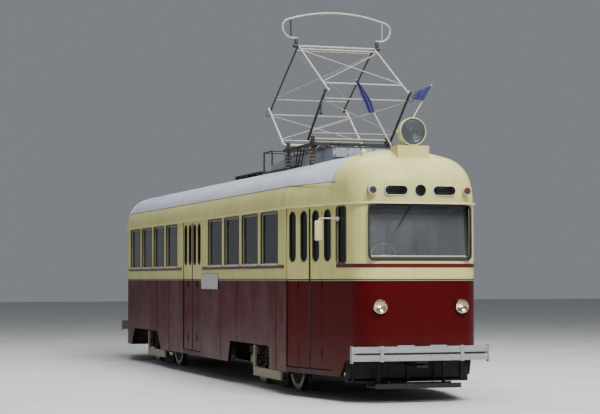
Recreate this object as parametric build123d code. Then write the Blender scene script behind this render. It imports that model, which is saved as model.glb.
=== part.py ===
"""Lead motor car of a four-axle tram: a steel body on two swivelling bogies, three folding
doorways on its right side and a two-sided pantograph on its roof.

Millimetres. +X is the front, +Y the left side, +Z up. Heights in the named sizes are above
the rail's top. The car is written out standing on its flange tips at Z = 0, with the origin
in the middle of its length and width."""
from build123d import *
from math import asin, atan2, cos, radians, sin, sqrt, tan
import os

os.makedirs("parts", exist_ok=True)

# Body in plan
LENGTH = 15000            # over the two end panels
WIDTH = 2550
END_BAY = 2010            # length of each tapered end along the car
TAPER = 12.43             # degrees that the sides of an end turn in
NOSE_RADIUS = 350         # rounded corners of both ends
WALL = 50                 # thickness of a side wall, skin to lining
FIT = 0.3                 # clearance between pieces that seat on each other

# Body heights, each from the one below it
SKIRT = 315               # lower edge of the sides
NOSE_RISE = 235           # end panels stop this far above the skirt
LOWER_PANEL = 1317        # skirt to belt
SILL_RISE = 226           # belt to window sill
WINDOW_HEIGHT = 782
HEADER = 33               # window top to drip rail
SHOULDER_RISE = 77        # drip rail to the start of the roof's curve
SEAM_RISE = 307           # drip rail to the edge of the roof canvas
ROOF_RISE = 700           # start of the curve to the crown
SHOULDER_RADIUS = 500
ROOF_WALL = 45
FLOOR = 880
FLOOR_THICK = 50

# Roof's domed ends
DOME_LENGTH = 800
DOME_FACE_RISE = 257      # drip rail to the top of the upright fascia
FACE_BOW = 9000           # radius of the end face in plan
FAN_DROP = 373            # the dome's sections fan about an axis this far below the drip rail
FAN_FOOT = 120            # and begin this far from it
FAN_ANGLES = (90, 72, 55, 40, 27, 15)
CAP_OVER = 140            # painted front cap: its round edge in plan reaches this far past the walls
CAP_BACK = 310            # its centre behind the end face

# Mouldings
RAIL_PROUD = 28
RAIL_HIGH = 26
BEAD_PROUD = 12
BEAD_HIGH = 24
BAND_PROUD = 7            # painted band under the windows
BAND_HIGH = 50
BAND_DROP = 31            # its middle below the end windows' sill
BAND_LAP = 90             # it stops this far from a doorway

# Side windows, four to a group, between posts of these widths
GROUP = 4
PILLAR = 181
FRONT_CORNER_POST = 400
FRONT_DOOR_POST = 500
REAR_DOOR_POST = 440
REAR_CORNER_POST = 300
WINDOW_RADIUS = 40
GLASS = 6
GLASS_SETBACK = 30        # glass behind the outer skin
CAB_WINDOW = 260          # width of the window behind each front corner
CAB_WINDOW_PAST = 215     # its middle in front of the doorway
CAB_WINDOW_RADIUS = 60

# Windscreen and rear window
SCREEN_HALF = 735
SCREEN_SILL_RISE = 47     # above the side windows' sill
SCREEN_HEIGHT = 760
SCREEN_RADIUS = 60
SCREEN_FRAME = 22
SCREEN_LOW_BACK = 68      # glass behind the end face, at its foot and at its head
SCREEN_HIGH_BACK = 168
SCREEN_PLAY = 4           # glass to the foot and head of its frame
FRAME_BACK = 230
FRAME_DEPTH = 180
FRAME_BEHIND = 30         # the frame reaches this far behind the glass

# Doorways and their leaves
DOOR_WIDTH = 1300
MIDDLE_DOOR = -730        # rear jamb of the middle doorway
LEAF_RISE = 85            # leaf's foot above the skirt
LEAF_HEAD = 10            # gap over the leaf
LEAF_THICK = 34
LEAF_SETBACK = 14         # leaf's outer face behind the skin
JAMB_GAP = 12
LEAF_GAP = 6
MEETING_GAP = 16
PIVOT_INSET = 18          # jamb pivot from the leaf's edge
HINGE_OUT = 7             # middle hinge in front of the leaf's outer face
HINGE_RADIUS = 5
HINGE_LUG = 12
KNUCKLE = 60
KNUCKLE_RISES = (160, 1100, 2050)   # above the leaf's foot
PIN_RADIUS = 8
SLOT_WIDTH = 160
SLOT_RISE = 42            # leaf window above the side windows' sill
SLOT_HEIGHT = 700
TREAD_RISE = 70           # first tread above the skirt
TREAD_STEP = 247          # first tread to the second
TREAD_DEPTH = 385
SECOND_DEPTH = 260
STEP_SHEET = 16
CHEEK_IN = 10             # the steps' side sheets behind the wall

# Underframe
BEAM = 80                 # width
BEAM_END_GAP = 100        # outer sills end this far before the tapered ends
CENTRE_GAP = 1450         # centre sills end this far before the bogies' middles
CENTRE_SILL = (320, 600)  # inner face, underside
SILL_BEAM = (60, 690)     # width, underside
BOLSTER_BEAM = (220, 800) # half length, underside
END_BEAM = (240, 140)     # behind the straight side's end, length
HEADSTOCK = (400, 140, 520, 600)      # behind the end face, length, half width, underside
DRAW_BEAM = (190, 320, 340, 640)      # behind the straight side, behind the end face, inner face, underside
CROSS_UNDER = 700
CROSS_SHARES = (-0.95, -0.475, 0, 0.475, 0.95)
CASES = ((800, 1800, -1000, -480, 380), (-1700, -500, 480, 1000, 360))
TANK = (200, 1700, 700, 150)          # from, to, across, radius
SADDLE = 20

# Running gear
GAUGE = 1524
WHEELBASE = 1800
WHEEL_RADIUS = 380
FLANGE = 28
FLANGE_THICK = 30
TYRE_WIDTH = 105
TYRE_INSIDE = 290         # radius
HUB_RADIUS = 110
AXLE_RADIUS = 65
JOURNAL_RADIUS = 50
JOURNAL_END = 975
SIDE_FRAME_IN = 880
SIDE_FRAME_OUT = 995
SIDE_FRAME_REACH = 1150
FRAME_UNDER = 470         # underside of the side frames
FRAME_DEEP = 110
AXLE_BOX = 110            # half size
CENTRE_PLATE = 785        # height of the bogie's centre plate
CENTRE_RADIUS = 200
CENTRE_PIN = 60
MOTOR_RADIUS = 190
MOTOR_HALF = 460
MOTOR_OUT = 480           # motors before and behind the middle
RAIL_BRAKE = 400          # half length of the shoe over the rail
MOTOR_LIFT = 20           # motors above the axles
CENTRE_DEEP = (420, 130, 190)         # half length, drop and rise of the side frame's middle
BOLSTER = (200, 700, 600, 720)        # half length, half width, from, to
CROSS_BEAM = (150, 60, 480, 620)      # place, half length, from, to
SPINE = (20, 90)          # from, to above the side frames' underside
BOX_COVER = (72, 22)      # radius, proud
BOX_BACK = 5              # axle boxes behind the side frames' faces
SHOE = (715, 815, 18, 110)            # rail brake from, to across, then its heights
SHOE_HANGER = (300, 30, 740, 800)     # place, half length, from, to across
GUARD_BACK = 340          # side guard behind the bogie's middle
GUARD_FRONT = 1110        # and in front of it
GUARD_OUT = 1130
GUARD_LOW = 150
GUARD_HIGH = 285
GUARD_POST = 620
GUARD_SHEET = 30
GUARD_LEG = 90
GUARD_HANGER = (230, 100, 55, 5)      # behind the guard's front, length, then how far in it starts and ends
GUARD_BRACKET = (60, 45, 5)           # length, then from and to under the guard's upper edge

# Skirt openings: edges from the bogie's middle, then from the doorway beside them, at the top and at the skirt
FRONT_OPENING = (1300, 1450, 880, 800)
REAR_OPENING = (970, 1310, 660, 320)
OPENING_RISE = 336

# Ends
BUMPER_LOW = 548
BUMPER_HIGH = 741
BUMPER_HALF = 980
BUMPER_OUT = 75
BUMPER_BOW = 8000
BUMPER_SLIT = 22
BUMPER_THICK = 36
BUMPER_WEB = 18
BUMPER_CLIP = 580         # clips to each side of the middle
END_FLANGE = 14
CLIP_HALF = 24
CLIP_OVER = 9
STAY = (340, 420)
LAMP_Y = 591
LAMP_Z = 1276
LAMP_RADIUS = 100
LAMP_PROUD = 45
TAIL_Z = 1020
TAIL_RADIUS = 55
SIGN_Z = 2841
SIGN_PROUD = 16
SIGN_OVAL = (330, 130)
SIGN_OVAL_Y = 350
SIGN_DISC = 84
MARKER_Y = 685
MARKER_RADIUS = 55
COUPLER_Z = 500
PIN_HOLE = 22
CLEVIS_GAP = 36
CLEVIS_HIGH = 90
CLEVIS_HALF = 80
CLEVIS_REACH = 60         # past the end face
CLEVIS_BACK = 120         # the clevis begins behind it
SLOT_BACK = 60            # the gap between its cheeks
BAR_BACK = 600
BAR_HALF = (45, 40)       # across, up
BAR_LUG = (380, 280, 60)  # behind the end face from, to, half width
TRAY_HALF = 620
TRAY_Z = 188
TRAY_FRONT = 80           # behind the end face
TRAY_BACK = 420
TRAY_BAR = (30, 18, 47)   # length, then under and over the tray's middle
SLAT = (36, 12)           # width, half thickness
SLAT_COUNT = 11
TRAY_HANGER = (390, 350, 480, 20)     # behind the end face from, to, across, half width

# Pantograph
PANTO_AHEAD = 300         # its middle before the front bogie's
SHAFT_RISE = 300          # main shafts above the roof's crown
APEX_RISE = 1790          # top bars above the roof's crown
PANTO_HALF = 615          # main shafts before and behind the middle
LOWER_ARM = 1052
LOWER_ANGLE = 38.8        # degrees, as it stands in service
APEX_HALF = 28            # each upper frame's top bar from the middle
PANTO_WIDTH = 1330
SHAFT_TUBE = 24
ARM_TUBE = 18
UPPER_TUBE = 13
BAR_TUBE = 11
TOP_TUBE = 15
BRACES = (6, 7)
KNEE_PIN = 15
SLEEVE_WALL = 11
SLEEVE_GAP = 9            # between the sleeves and the arms beside them
SLEEVE_LENGTH = 30
KNEE_END = 6              # knee pins past the sleeves
SHAFT_OVER = 5            # shafts past the arms
TOP_OVER = 28             # top bars past the arms
BOW_WIDTH = 1770
BOW_RISE = 550            # above the top bars
BOW_TUBE = 16
BOW_ARCH = 2590           # radius of the arch
HORN_OUT = 120            # radius of the curl's outer half
HORN_RISE = 120           # end of the curl above the top bars
BOW_POST_Y = 750
BOW_POST = 9
SPRING_BOX = 18           # half size
BASE_Y = 600
BASE_REACH = 780
BASE_BEAM = 30            # half width
BASE_RISE = 205           # beams above the roof's crown
BASE_HIGH = 40
BEARING = 42              # around the shafts
INSULATOR = 38            # radius of an insulator's core
SHED = 64                 # radius of its sheds
SHED_RISES = (0, 55, 110, 165)

# Roof fittings
CASE_BACK = 2050          # behind the pantograph's middle
CASE_FRONT = 1110         # before it
CASE_HALF = 440
CASE_RISE = 150
CASE_SLOPE = 900
CASE_DROP = 75            # fall of the lid towards the back
SEAT_DEPTH = 200          # fittings reach this far under the crown before they are cut to the roof
ROOF_LAMP_BACK = 370      # roof lamp behind the end face
ROOF_LAMP_RISE = 212
ROOF_LAMP_RADIUS = 185
LAMP_BOX = (260, 460, 20) # length, width, height over the crown
HOOD = (700, 560, 50, 42) # behind the end face, to the right, under the crown, radius
BOWL_FRONT = 110          # roof lamp's rim before its stem
BOWL_RIM = 70             # straight part behind the glass
BOWL_DEEP = 170           # rounded back
BOWL_NECK = 37            # radius of the flat at its back
GANTRY = (3260, 2780, 200, 380, 14)   # behind the pantograph's middle from, to, half width, height, radius
POLE_BACK = 545
POLE_RADIUS = 9
POLE_FEET = ((-200, 25), (-130, 25))          # across, above the crown
POLE_TIPS = ((-719, 933), (404, 903))
FLAG_SHAPES = ((0.52, 0.98, 75, 45), (0.70, 0.95, 150, 250))   # share of the pole from, to, widths there
FLAG_THICK = 10

# Mirror and the blank board under the windows
MIRROR_BACK = 600         # behind the end face
MIRROR_HALF = (15, 85, 135)
MIRROR_OUT = 240          # its middle outside the wall
MIRROR_Z = 2305
ARM_Z = 2470
ARM_RADIUS = 9
ARM_PLATE = (30, 35, 25)  # half size, into the wall, out of it
BOARD = (110, 1060, 156, 254, 10)     # before the middle doorway, length, under the belt, height, thickness

# Saloon and cab
SEAT_PITCH = 780
SEAT_WALL = 95            # seats to the outer skin
SEAT_WIDTHS = (440, 800)  # right side, left side
FIRST_ROW = 1030          # from the front end of the straight side
LAST_ROW = 590            # from its rear end
ROW_GAPS = (750, 250)     # rows to the middle doorway, before it and behind it
PEDESTAL = 60             # half width
SEAT_Z = 1240
CUSHION = 80
SEAT_HALF = 200
BACK_THICK = 60
BACK_TOP = 1760
RAIL_PLACES = (-660, 300)
RAIL_RADIUS = 16
RAIL_Z = 2720
RAIL_GAP = 490            # rails end this far before the tapered ends
STANCHION = 2400
PARTITION_TOP = 2600
PARTITION_THICK = 30
PARTITION_LEFT = 105      # its left edge to the outer skin
PARTITION_WIDTH = 1320
PARTITION_EDGE = 100
DESK_BACK = 420           # behind the end face
DESK_DEEP = 250
DESK_TOP = 1600
DESK_HIGH = 100
DESK_HALF = 560
WHEEL_Y = -330
WHEEL_Z = 1750
WHEEL_RIM = 170
WHEEL_TILT = 60           # degrees
CHAIR_BACK = 800          # behind the end face
CHAIR_Y = 270
CHAIR_HALF = (200, 210)
CHAIR_TOP = 1420
CHAIR_RISE = 440

# Sizes that follow from those above
half = LENGTH / 2
side = WIDTH / 2
straight = half - END_BAY
slope = tan(radians(TAPER))
nose_bottom = SKIRT + NOSE_RISE
belt = SKIRT + LOWER_PANEL
sill = belt + SILL_RISE
window_top = sill + WINDOW_HEIGHT
drip = window_top + HEADER
shoulder_start = drip + SHOULDER_RISE
seam = drip + SEAM_RISE
crown_z = shoulder_start + ROOF_RISE
dome_start = half - DOME_LENGTH
dome_face = drip + DOME_FACE_RISE
fan_z = drip - FAN_DROP
bay_end_x = straight + DOOR_WIDTH * cos(radians(TAPER))
bay_end_y = side - DOOR_WIDTH * sin(radians(TAPER))
pivot = LENGTH / 4
pivots = (pivot, -pivot)
panto_x = pivot + PANTO_AHEAD
shaft_z = crown_z + SHAFT_RISE
apex_z = crown_z + APEX_RISE
bow_top = apex_z + BOW_RISE
knee_x = PANTO_HALF + LOWER_ARM * cos(radians(LOWER_ANGLE))
knee_z = shaft_z + LOWER_ARM * sin(radians(LOWER_ANGLE))
crown_radius = (((side - SHOULDER_RADIUS) ** 2 + ROOF_RISE ** 2 - SHOULDER_RADIUS ** 2)
                / (2 * (ROOF_RISE - SHOULDER_RADIUS)))
window_width = (straight - FRONT_CORNER_POST - FRONT_DOOR_POST - MIDDLE_DOOR - DOOR_WIDTH
                - (GROUP - 1) * PILLAR) / GROUP
window_pitch = window_width + PILLAR
sill_mid = (sill + window_top) / 2
screen_bottom = sill + SCREEN_SILL_RISE
screen_mid = screen_bottom + SCREEN_HEIGHT / 2
leaf_bottom = SKIRT + LEAF_RISE
leaf_top = drip - LEAF_HEAD
tread = SKIRT + TREAD_RISE
seat_edge = side - SEAT_WALL
seat_places = ((-seat_edge, SEAT_WIDTHS[0] - seat_edge), (seat_edge - SEAT_WIDTHS[1], seat_edge))
second_tread = tread + TREAD_STEP
well_depth = TREAD_DEPTH + SECOND_DEPTH
floor_under = FLOOR - FLOOR_THICK


def wall_at(x):
    """Half width of the body at a place in its tapered ends."""
    return side - slope * (abs(x) - straight)


def block(x0, x1, y0, y1, z0, z1):
    """Box between two corners."""
    return Pos((x0 + x1) / 2, (y0 + y1) / 2, (z0 + z1) / 2) * Box(abs(x1 - x0), abs(y1 - y0), abs(z1 - z0))


def rod(a, b, radius):
    """Round bar between two points."""
    a, b = Vector(*a), Vector(*b)
    return Plane(a, z_dir=b - a) * Cylinder(radius, (b - a).length, align=(Align.CENTER, Align.CENTER, Align.MIN))


def joined(shapes):
    """All the shapes in a list as one."""
    shapes = list(shapes)
    return sum(shapes[1:], shapes[0])


def both_sides(shape):
    """A piece and its mirror image on the other side."""
    return shape + mirror(shape, Plane.XZ)


def both_ends(shape):
    """A piece and its mirror image at the other end."""
    return shape + mirror(shape, Plane.YZ)


def save(name, shape):
    """Writes a piece, lifted so that the flange tips stand on Z = 0."""
    export_step(Pos(0, 0, FLANGE) * shape, f"parts/{name}.step")


def plan(inset):
    """The body's outline in plan, moved in by a wall's thickness."""
    turn_x = straight - inset * tan(radians(TAPER / 2))
    nose_x = half - inset
    nose_y = side - slope * (nose_x - straight) - inset / cos(radians(TAPER))
    quarter = [(turn_x, side - inset), (nose_x, nose_y)]
    points = [(x, -y) for x, y in quarter] + [(x, y) for x, y in reversed(quarter)]
    points += [(-x, -y) for x, y in points]
    face = make_face(Polyline(*points, close=True))
    corners = [v for v in face.vertices() if abs(v.X) > straight + WALL]
    return fillet(corners, NOSE_RADIUS - inset)


def prism(inset, z0, z1):
    """Solid that fills the body's outline between two heights."""
    return extrude(Pos(0, 0, z0) * plan(inset), z1 - z0)


def ring(z0, z1, thick, inset=0):
    """Closed wall that follows the body's outline."""
    return prism(inset, z0, z1) - prism(inset + thick, z0 - 1, z1 + 1)


def doorway(index):
    """Local frame of a doorway: x along it to the front, y into the car."""
    turn = radians(TAPER)
    if index == 0:
        return Plane((straight, -side, 0), x_dir=(cos(turn), sin(turn), 0), z_dir=(0, 0, 1))
    if index == 1:
        return Plane((MIDDLE_DOOR, -side, 0), x_dir=(1, 0, 0), z_dir=(0, 0, 1))
    return Plane((-bay_end_x, -bay_end_y, 0), x_dir=(cos(turn), -sin(turn), 0), z_dir=(0, 0, 1))


door_names = ("front", "middle", "rear")
door_frames = [doorway(i) for i in range(3)]


def each_doorway(shape):
    """The same shape in every doorway."""
    return joined(f * shape for f in door_frames)


door_cut = each_doorway(block(0, DOOR_WIDTH, -2 * WALL, 2 * WALL, 0, drip))
front_zone = block(straight, LENGTH, -WIDTH, WIDTH, 0, 2 * crown_z)
rear_zone = block(-LENGTH, -straight, -WIDTH, WIDTH, 0, 2 * crown_z)
right_zone = block(-straight, straight, -WIDTH, 0, 0, 2 * crown_z)
left_zone = block(-straight, straight, 0, WIDTH, 0, 2 * crown_z)


def cut_through(*points):
    """Cutter through the whole body from an outline seen from the side."""
    return extrude(Plane.XZ * make_face(Polyline(*points, close=True)), WIDTH, both=True)


# Lower panels, with the skirt cut round the bogies and raised under the ends
lower_ring = ring(SKIRT, belt, WALL)
low = SKIRT - WALL
opening_top = SKIRT + OPENING_RISE
back_top, back_low, front_top, front_low = FRONT_OPENING
lower_ring -= cut_through((pivot - back_low, low), (straight - front_low, low), (straight - front_top, opening_top),
                          (pivot - back_top, opening_top))
front_top, front_low, back_top, back_low = REAR_OPENING
lower_ring -= cut_through((-straight + back_low, low), (front_low - pivot, low), (front_top - pivot, opening_top),
                          (-straight + back_top, opening_top))
rise_foot = straight + END_BAY * 0.7
rise_head = rise_foot + NOSE_RISE * 0.7
lower_ring -= both_ends(cut_through((rise_foot, low), (rise_head, nose_bottom), (LENGTH, nose_bottom),
                                    (LENGTH, low)))
lower_ring -= door_cut
save("side_panel_right", lower_ring & right_zone)
save("side_panel_left", lower_ring & left_zone)
save("front_panel", lower_ring & front_zone)
save("rear_panel", lower_ring & rear_zone)

# Window band, with every window cut
first_front = straight - FRONT_CORNER_POST - window_width / 2
first_rear = MIDDLE_DOOR - REAR_DOOR_POST - window_width / 2
window_middles = [first - i * window_pitch for first in (first_front, first_rear) for i in range(GROUP)]
left_middle_x = MIDDLE_DOOR + DOOR_WIDTH / 2


def on_side(x, depth, outline, out=0):
    """Outline of a window on the right wall, pushed into the car from a distance outside the skin."""
    return extrude(Plane((x, -side - out, sill_mid), x_dir=(1, 0, 0), z_dir=(0, 1, 0)) * outline, depth)


def in_bay(along, depth, outline, out=0):
    """The same on the wall of the front bay."""
    return door_frames[0] * (Pos(along, -out, sill_mid) * Rot(-90, 0, 0) * extrude(outline, depth))


def on_end(y, z, outline, x0, x1):
    """Outline drawn across the car and pushed forward from x0 to x1."""
    return extrude(Plane((x0, y, z), x_dir=(0, 1, 0), z_dir=(1, 0, 0)) * outline, x1 - x0)


def pane_shape(width, radius, less=0):
    """Outline of a side window, or of the pane inside it."""
    return RectangleRounded(width - 2 * less, WINDOW_HEIGHT - 2 * less, radius - less)


band = ring(belt, drip, WALL)
for x in window_middles:
    band -= both_sides(on_side(x, 3 * WALL, pane_shape(window_width, WINDOW_RADIUS), WALL))
band -= mirror(on_side(left_middle_x, 3 * WALL, pane_shape(window_width, WINDOW_RADIUS), WALL), Plane.XZ)
band -= both_ends(on_end(0, screen_mid, RectangleRounded(2 * SCREEN_HALF, SCREEN_HEIGHT, SCREEN_RADIUS),
                         half - 3 * WALL, half + WALL))
cab_along = DOOR_WIDTH + CAB_WINDOW_PAST
band -= both_sides(in_bay(cab_along, 3 * WALL, pane_shape(CAB_WINDOW, CAB_WINDOW_RADIUS), WALL))
left_bay = mirror(in_bay(DOOR_WIDTH / 2, 3 * WALL, pane_shape(window_width, WINDOW_RADIUS), WALL), Plane.XZ)
band -= both_ends(left_bay)
band -= door_cut
save("window_band_right", band & right_zone)
save("window_band_left", band & left_zone)
save("cab_window_band", band & front_zone)
save("rear_window_band", band & rear_zone)

# Window glass, each pane in its opening
side_outline = pane_shape(window_width, WINDOW_RADIUS, FIT)
right_panes = [on_side(x, GLASS, side_outline, -GLASS_SETBACK) for x in window_middles]
left_panes = [mirror(on_side(x, GLASS, side_outline, -GLASS_SETBACK), Plane.XZ)
              for x in window_middles + [left_middle_x]]
save("side_glass", joined(right_panes + left_panes))

# Windscreen and rear window, set back and leaning in a deep frame under the brow
lean = atan2(SCREEN_HIGH_BACK - SCREEN_LOW_BACK, SCREEN_HEIGHT)
screen_plane = Plane((half - (SCREEN_LOW_BACK + SCREEN_HIGH_BACK) / 2, 0, screen_mid), x_dir=(0, 1, 0),
                     z_dir=(cos(lean), 0, sin(lean)))
frame_outline = RectangleRounded(2 * (SCREEN_HALF + SCREEN_FRAME), SCREEN_HEIGHT + 2 * SCREEN_FRAME,
                                 SCREEN_RADIUS + SCREEN_FRAME)
tube = on_end(0, screen_mid, frame_outline, half - FRAME_BACK, half - FRAME_BACK + FRAME_DEPTH)
tube -= on_end(0, screen_mid, RectangleRounded(2 * SCREEN_HALF, SCREEN_HEIGHT, SCREEN_RADIUS),
               half - 2 * FRAME_BACK, half)
tube -= screen_plane * Pos(0, 0, -FRAME_BEHIND - WIDTH / 2) * Box(WIDTH, WIDTH, WIDTH)
tube &= prism(WALL + FIT, belt, drip - FIT)
save("screen_frames", both_ends(tube))
screen_high = SCREEN_HEIGHT / cos(lean) - 2 * SCREEN_PLAY
screen_outline = RectangleRounded(2 * SCREEN_HALF - 2 * FIT, screen_high, SCREEN_RADIUS - FIT)
screen = extrude(screen_plane * screen_outline, GLASS)
cab_pane = in_bay(cab_along, GLASS, pane_shape(CAB_WINDOW, CAB_WINDOW_RADIUS, FIT), -GLASS_SETBACK)
bay_pane = mirror(in_bay(DOOR_WIDTH / 2, GLASS, side_outline, -GLASS_SETBACK), Plane.XZ)
save("glass_ends", both_ends(screen + bay_pane) + both_sides(cab_pane))


def arch(half_width, top, radius, start, base):
    """Three-centred roof section, drawn across the car as a closed face."""
    rise = top - start
    big = ((half_width - radius) ** 2 + rise ** 2 - radius ** 2) / (2 * (rise - radius))
    angle = atan2(start - (top - big), half_width - radius)
    touch = (half_width - radius + radius * cos(angle), start + radius * sin(angle))
    mid = (half_width - radius + radius * cos(angle / 2), start + radius * sin(angle / 2))
    up_right = Line((half_width, base), (half_width, start))
    right_arc = ThreePointArc((half_width, start), mid, touch)
    crown = ThreePointArc(touch, (0, top), (-touch[0], touch[1]))
    left_arc = ThreePointArc((-touch[0], touch[1]), (-mid[0], mid[1]), (-half_width, start))
    down_left = Line((-half_width, start), (-half_width, base))
    floor_line = Line((-half_width, base), (half_width, base))
    return make_face(up_right + right_arc + crown + left_arc + down_left + floor_line)


def arch_at(x, inset, base):
    """The roof section at a place along the car."""
    width = side - inset if abs(x) <= straight else wall_at(x) - inset / cos(radians(TAPER))
    section = arch(width, crown_z - inset, SHOULDER_RADIUS - inset, shoulder_start, base)
    return Plane((x, 0, 0), x_dir=(0, 1, 0), z_dir=(1, 0, 0)) * section


def dome_reach(angle, inset):
    """Distance from the fan's axis to the dome's outline, along the middle of the car."""
    dx, dz = cos(angle), sin(angle)
    face = DOME_LENGTH - inset
    if dx > 0.01 and fan_z + face * dz / dx < dome_face:
        return face / dx
    # on the quarter ellipse from the upright fascia to the roof's crown
    rise = crown_z - inset - dome_face
    low = dome_face - fan_z
    qa = (dx / face) ** 2 + (dz / rise) ** 2
    qb = dz * low / rise ** 2
    qc = (low / rise) ** 2 - 1
    return (qb + sqrt(qb * qb - qa * qc)) / qa


def fan_section(degrees_up, inset):
    """One section of the dome, in a plane turned about the fan's axis. 90 degrees is upright."""
    angle = radians(degrees_up)
    reach = dome_reach(angle, inset)
    start = wall_at(dome_start) - inset / cos(radians(TAPER))
    corner = NOSE_RADIUS + (SHOULDER_RADIUS - NOSE_RADIUS) * sin(angle) - inset
    crown = 1 / (cos(angle) ** 2 / FACE_BOW + sin(angle) ** 2 / crown_radius) - inset
    lean_in = slope * cos(angle)
    up = Vector(-lean_in, 1).normalized()
    # the corner's circle touches the side line and the crown's circle
    first = Vector(start, 0) + Vector(-up.Y, up.X) * corner
    crown_middle = Vector(0, reach - crown)
    gap = first - crown_middle
    along = gap.dot(up)
    rest = gap.dot(gap) - (crown - corner) ** 2
    corner_middle = first + up * (sqrt(along * along - rest) - along)
    side_touch = corner_middle + Vector(up.Y, -up.X) * corner
    out = (corner_middle - crown_middle).normalized()
    top_touch = crown_middle + out * crown
    middle = corner_middle + (out + Vector(up.Y, -up.X)).normalized() * corner
    foot = Vector(start - lean_in * FAN_FOOT, FAN_FOOT)

    def other(point):
        return Vector(-point.X, point.Y)

    outline = Line(other(foot), foot) + Line(foot, side_touch) + ThreePointArc(side_touch, middle, top_touch)
    outline += ThreePointArc(top_touch, Vector(0, reach), other(top_touch))
    outline += ThreePointArc(other(top_touch), other(middle), other(side_touch))
    outline += Line(other(side_touch), other(foot))
    plane = Plane((dome_start, 0, fan_z), x_dir=(0, 1, 0), z_dir=(sin(angle), 0, -cos(angle)))
    return plane * make_face(outline)


def roof_solid(inset):
    """Everything under the roof's skin, moved in by a thickness: straight part, tapered bay, dome."""
    base = drip - 1 if inset else drip
    turn_x = straight - inset * tan(radians(TAPER / 2))
    body = extrude(arch_at(0, inset, base), turn_x, both=True)
    bay = loft([arch_at(turn_x, inset, base), arch_at(dome_start, inset, base)], ruled=True)
    dome = loft([fan_section(angle, inset) for angle in FAN_ANGLES])
    dome &= block(dome_start, half + WALL, -side, side, base, crown_z + WALL)
    return body, bay, dome


outer_body, outer_bay, outer_dome = roof_solid(0)
inner_body, inner_bay, inner_dome = roof_solid(ROOF_WALL)
main_roof = (outer_body - inner_body) + both_ends(outer_bay - inner_bay) + both_ends(outer_dome - inner_dome)
cap_x = half - CAP_BACK
front_cap = block(cap_x, half + WALL, -side, side, seam, 2 * crown_z)
cap_radius = wall_at(cap_x) + CAP_OVER
front_cap += Pos(cap_x, 0, seam) * Cylinder(cap_radius, crown_z, align=(Align.CENTER, Align.CENTER, Align.MIN))
above = block(-LENGTH, LENGTH, -WIDTH, WIDTH, seam, 2 * crown_z)
save("roof_canvas", (main_roof & above) - front_cap)
save("front_dome", main_roof & front_cap)
save("letterboard", main_roof - above)

# Drip rail over the windows, bead along the belt, band under the windows and round both ends
bead = ring(belt - BEAD_HIGH / 2, belt + BEAD_HIGH / 2, BEAD_PROUD, -BEAD_PROUD)
band_z = screen_bottom - SCREEN_SILL_RISE - BAND_DROP + BAND_HIGH / 2
painted_band = ring(band_z - BAND_HIGH, band_z, BAND_PROUD, -BAND_PROUD)
door_strip = block(0, DOOR_WIDTH, -2 * WALL, WALL, 0, drip)
lapped_strip = block(-BAND_LAP, DOOR_WIDTH + BAND_LAP, -2 * WALL, WALL, 0, drip)
rain_rail = ring(drip - RAIL_HIGH / 2, drip + RAIL_HIGH / 2, RAIL_PROUD, -RAIL_PROUD)
save("body_mouldings", rain_rail + (bead - each_doorway(door_strip)) + (painted_band - each_doorway(lapped_strip)))

# Underframe: beams as (x from, to, y from, to, underside), each repeated at the other end or side where it says so
sill_out = side - WALL - FIT
centre_reach = pivot - CENTRE_GAP
beam_reach = straight - BEAM_END_GAP
centre_in, centre_under = CENTRE_SILL
bolster_half, bolster_under = BOLSTER_BEAM
head_back, head_long, head_half, headstock_under = HEADSTOCK
draw_back, draw_nose, draw_in, draw_under = DRAW_BEAM
end_back, end_long = END_BEAM
beam_table = [
    (-beam_reach, beam_reach, sill_out - SILL_BEAM[0], sill_out, SILL_BEAM[1], "sides"),
    (pivot - bolster_half, pivot + bolster_half, -sill_out, sill_out, bolster_under, "ends"),
    (-centre_reach, centre_reach, centre_in, centre_in + BEAM, centre_under, "sides"),
    (straight - end_back, straight - end_back + end_long, -sill_out, sill_out, SILL_BEAM[1], "ends"),
    (half - head_back, half - head_back + head_long, -head_half, head_half, headstock_under, "ends"),
    (straight - draw_back, half - draw_nose, draw_in, draw_in + BEAM, draw_under, "both")]
cross_places = [centre_reach * share for share in CROSS_SHARES]
beam_table += [(x - BEAM / 2, x + BEAM / 2, -sill_out, sill_out, CROSS_UNDER, "once") for x in cross_places]
wells = each_doorway(block(-STEP_SHEET - FIT, DOOR_WIDTH + STEP_SHEET + FIT, -WALL,
                           well_depth + STEP_SHEET + FIT, 0, FLOOR + 1))
room = prism(WALL + FIT, 0, floor_under) - wells
laid = []
taken = None
for x0, x1, y0, y1, under, repeat in beam_table:
    for end in (1, -1) if repeat in ("ends", "both") else (1,):
        for hand in (1, -1) if repeat in ("sides", "both") else (1,):
            (xa, xb), (ya, yb) = sorted((end * x0, end * x1)), sorted((hand * y0, hand * y1))
            beam = block(xa, xb, ya, yb, under, floor_under) & room
            laid += (beam if taken is None else beam - taken).solids()
            grown = block(xa - FIT, xb + FIT, ya - FIT, yb + FIT, under - FIT, FLOOR)
            taken = grown if taken is None else taken + grown

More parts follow.
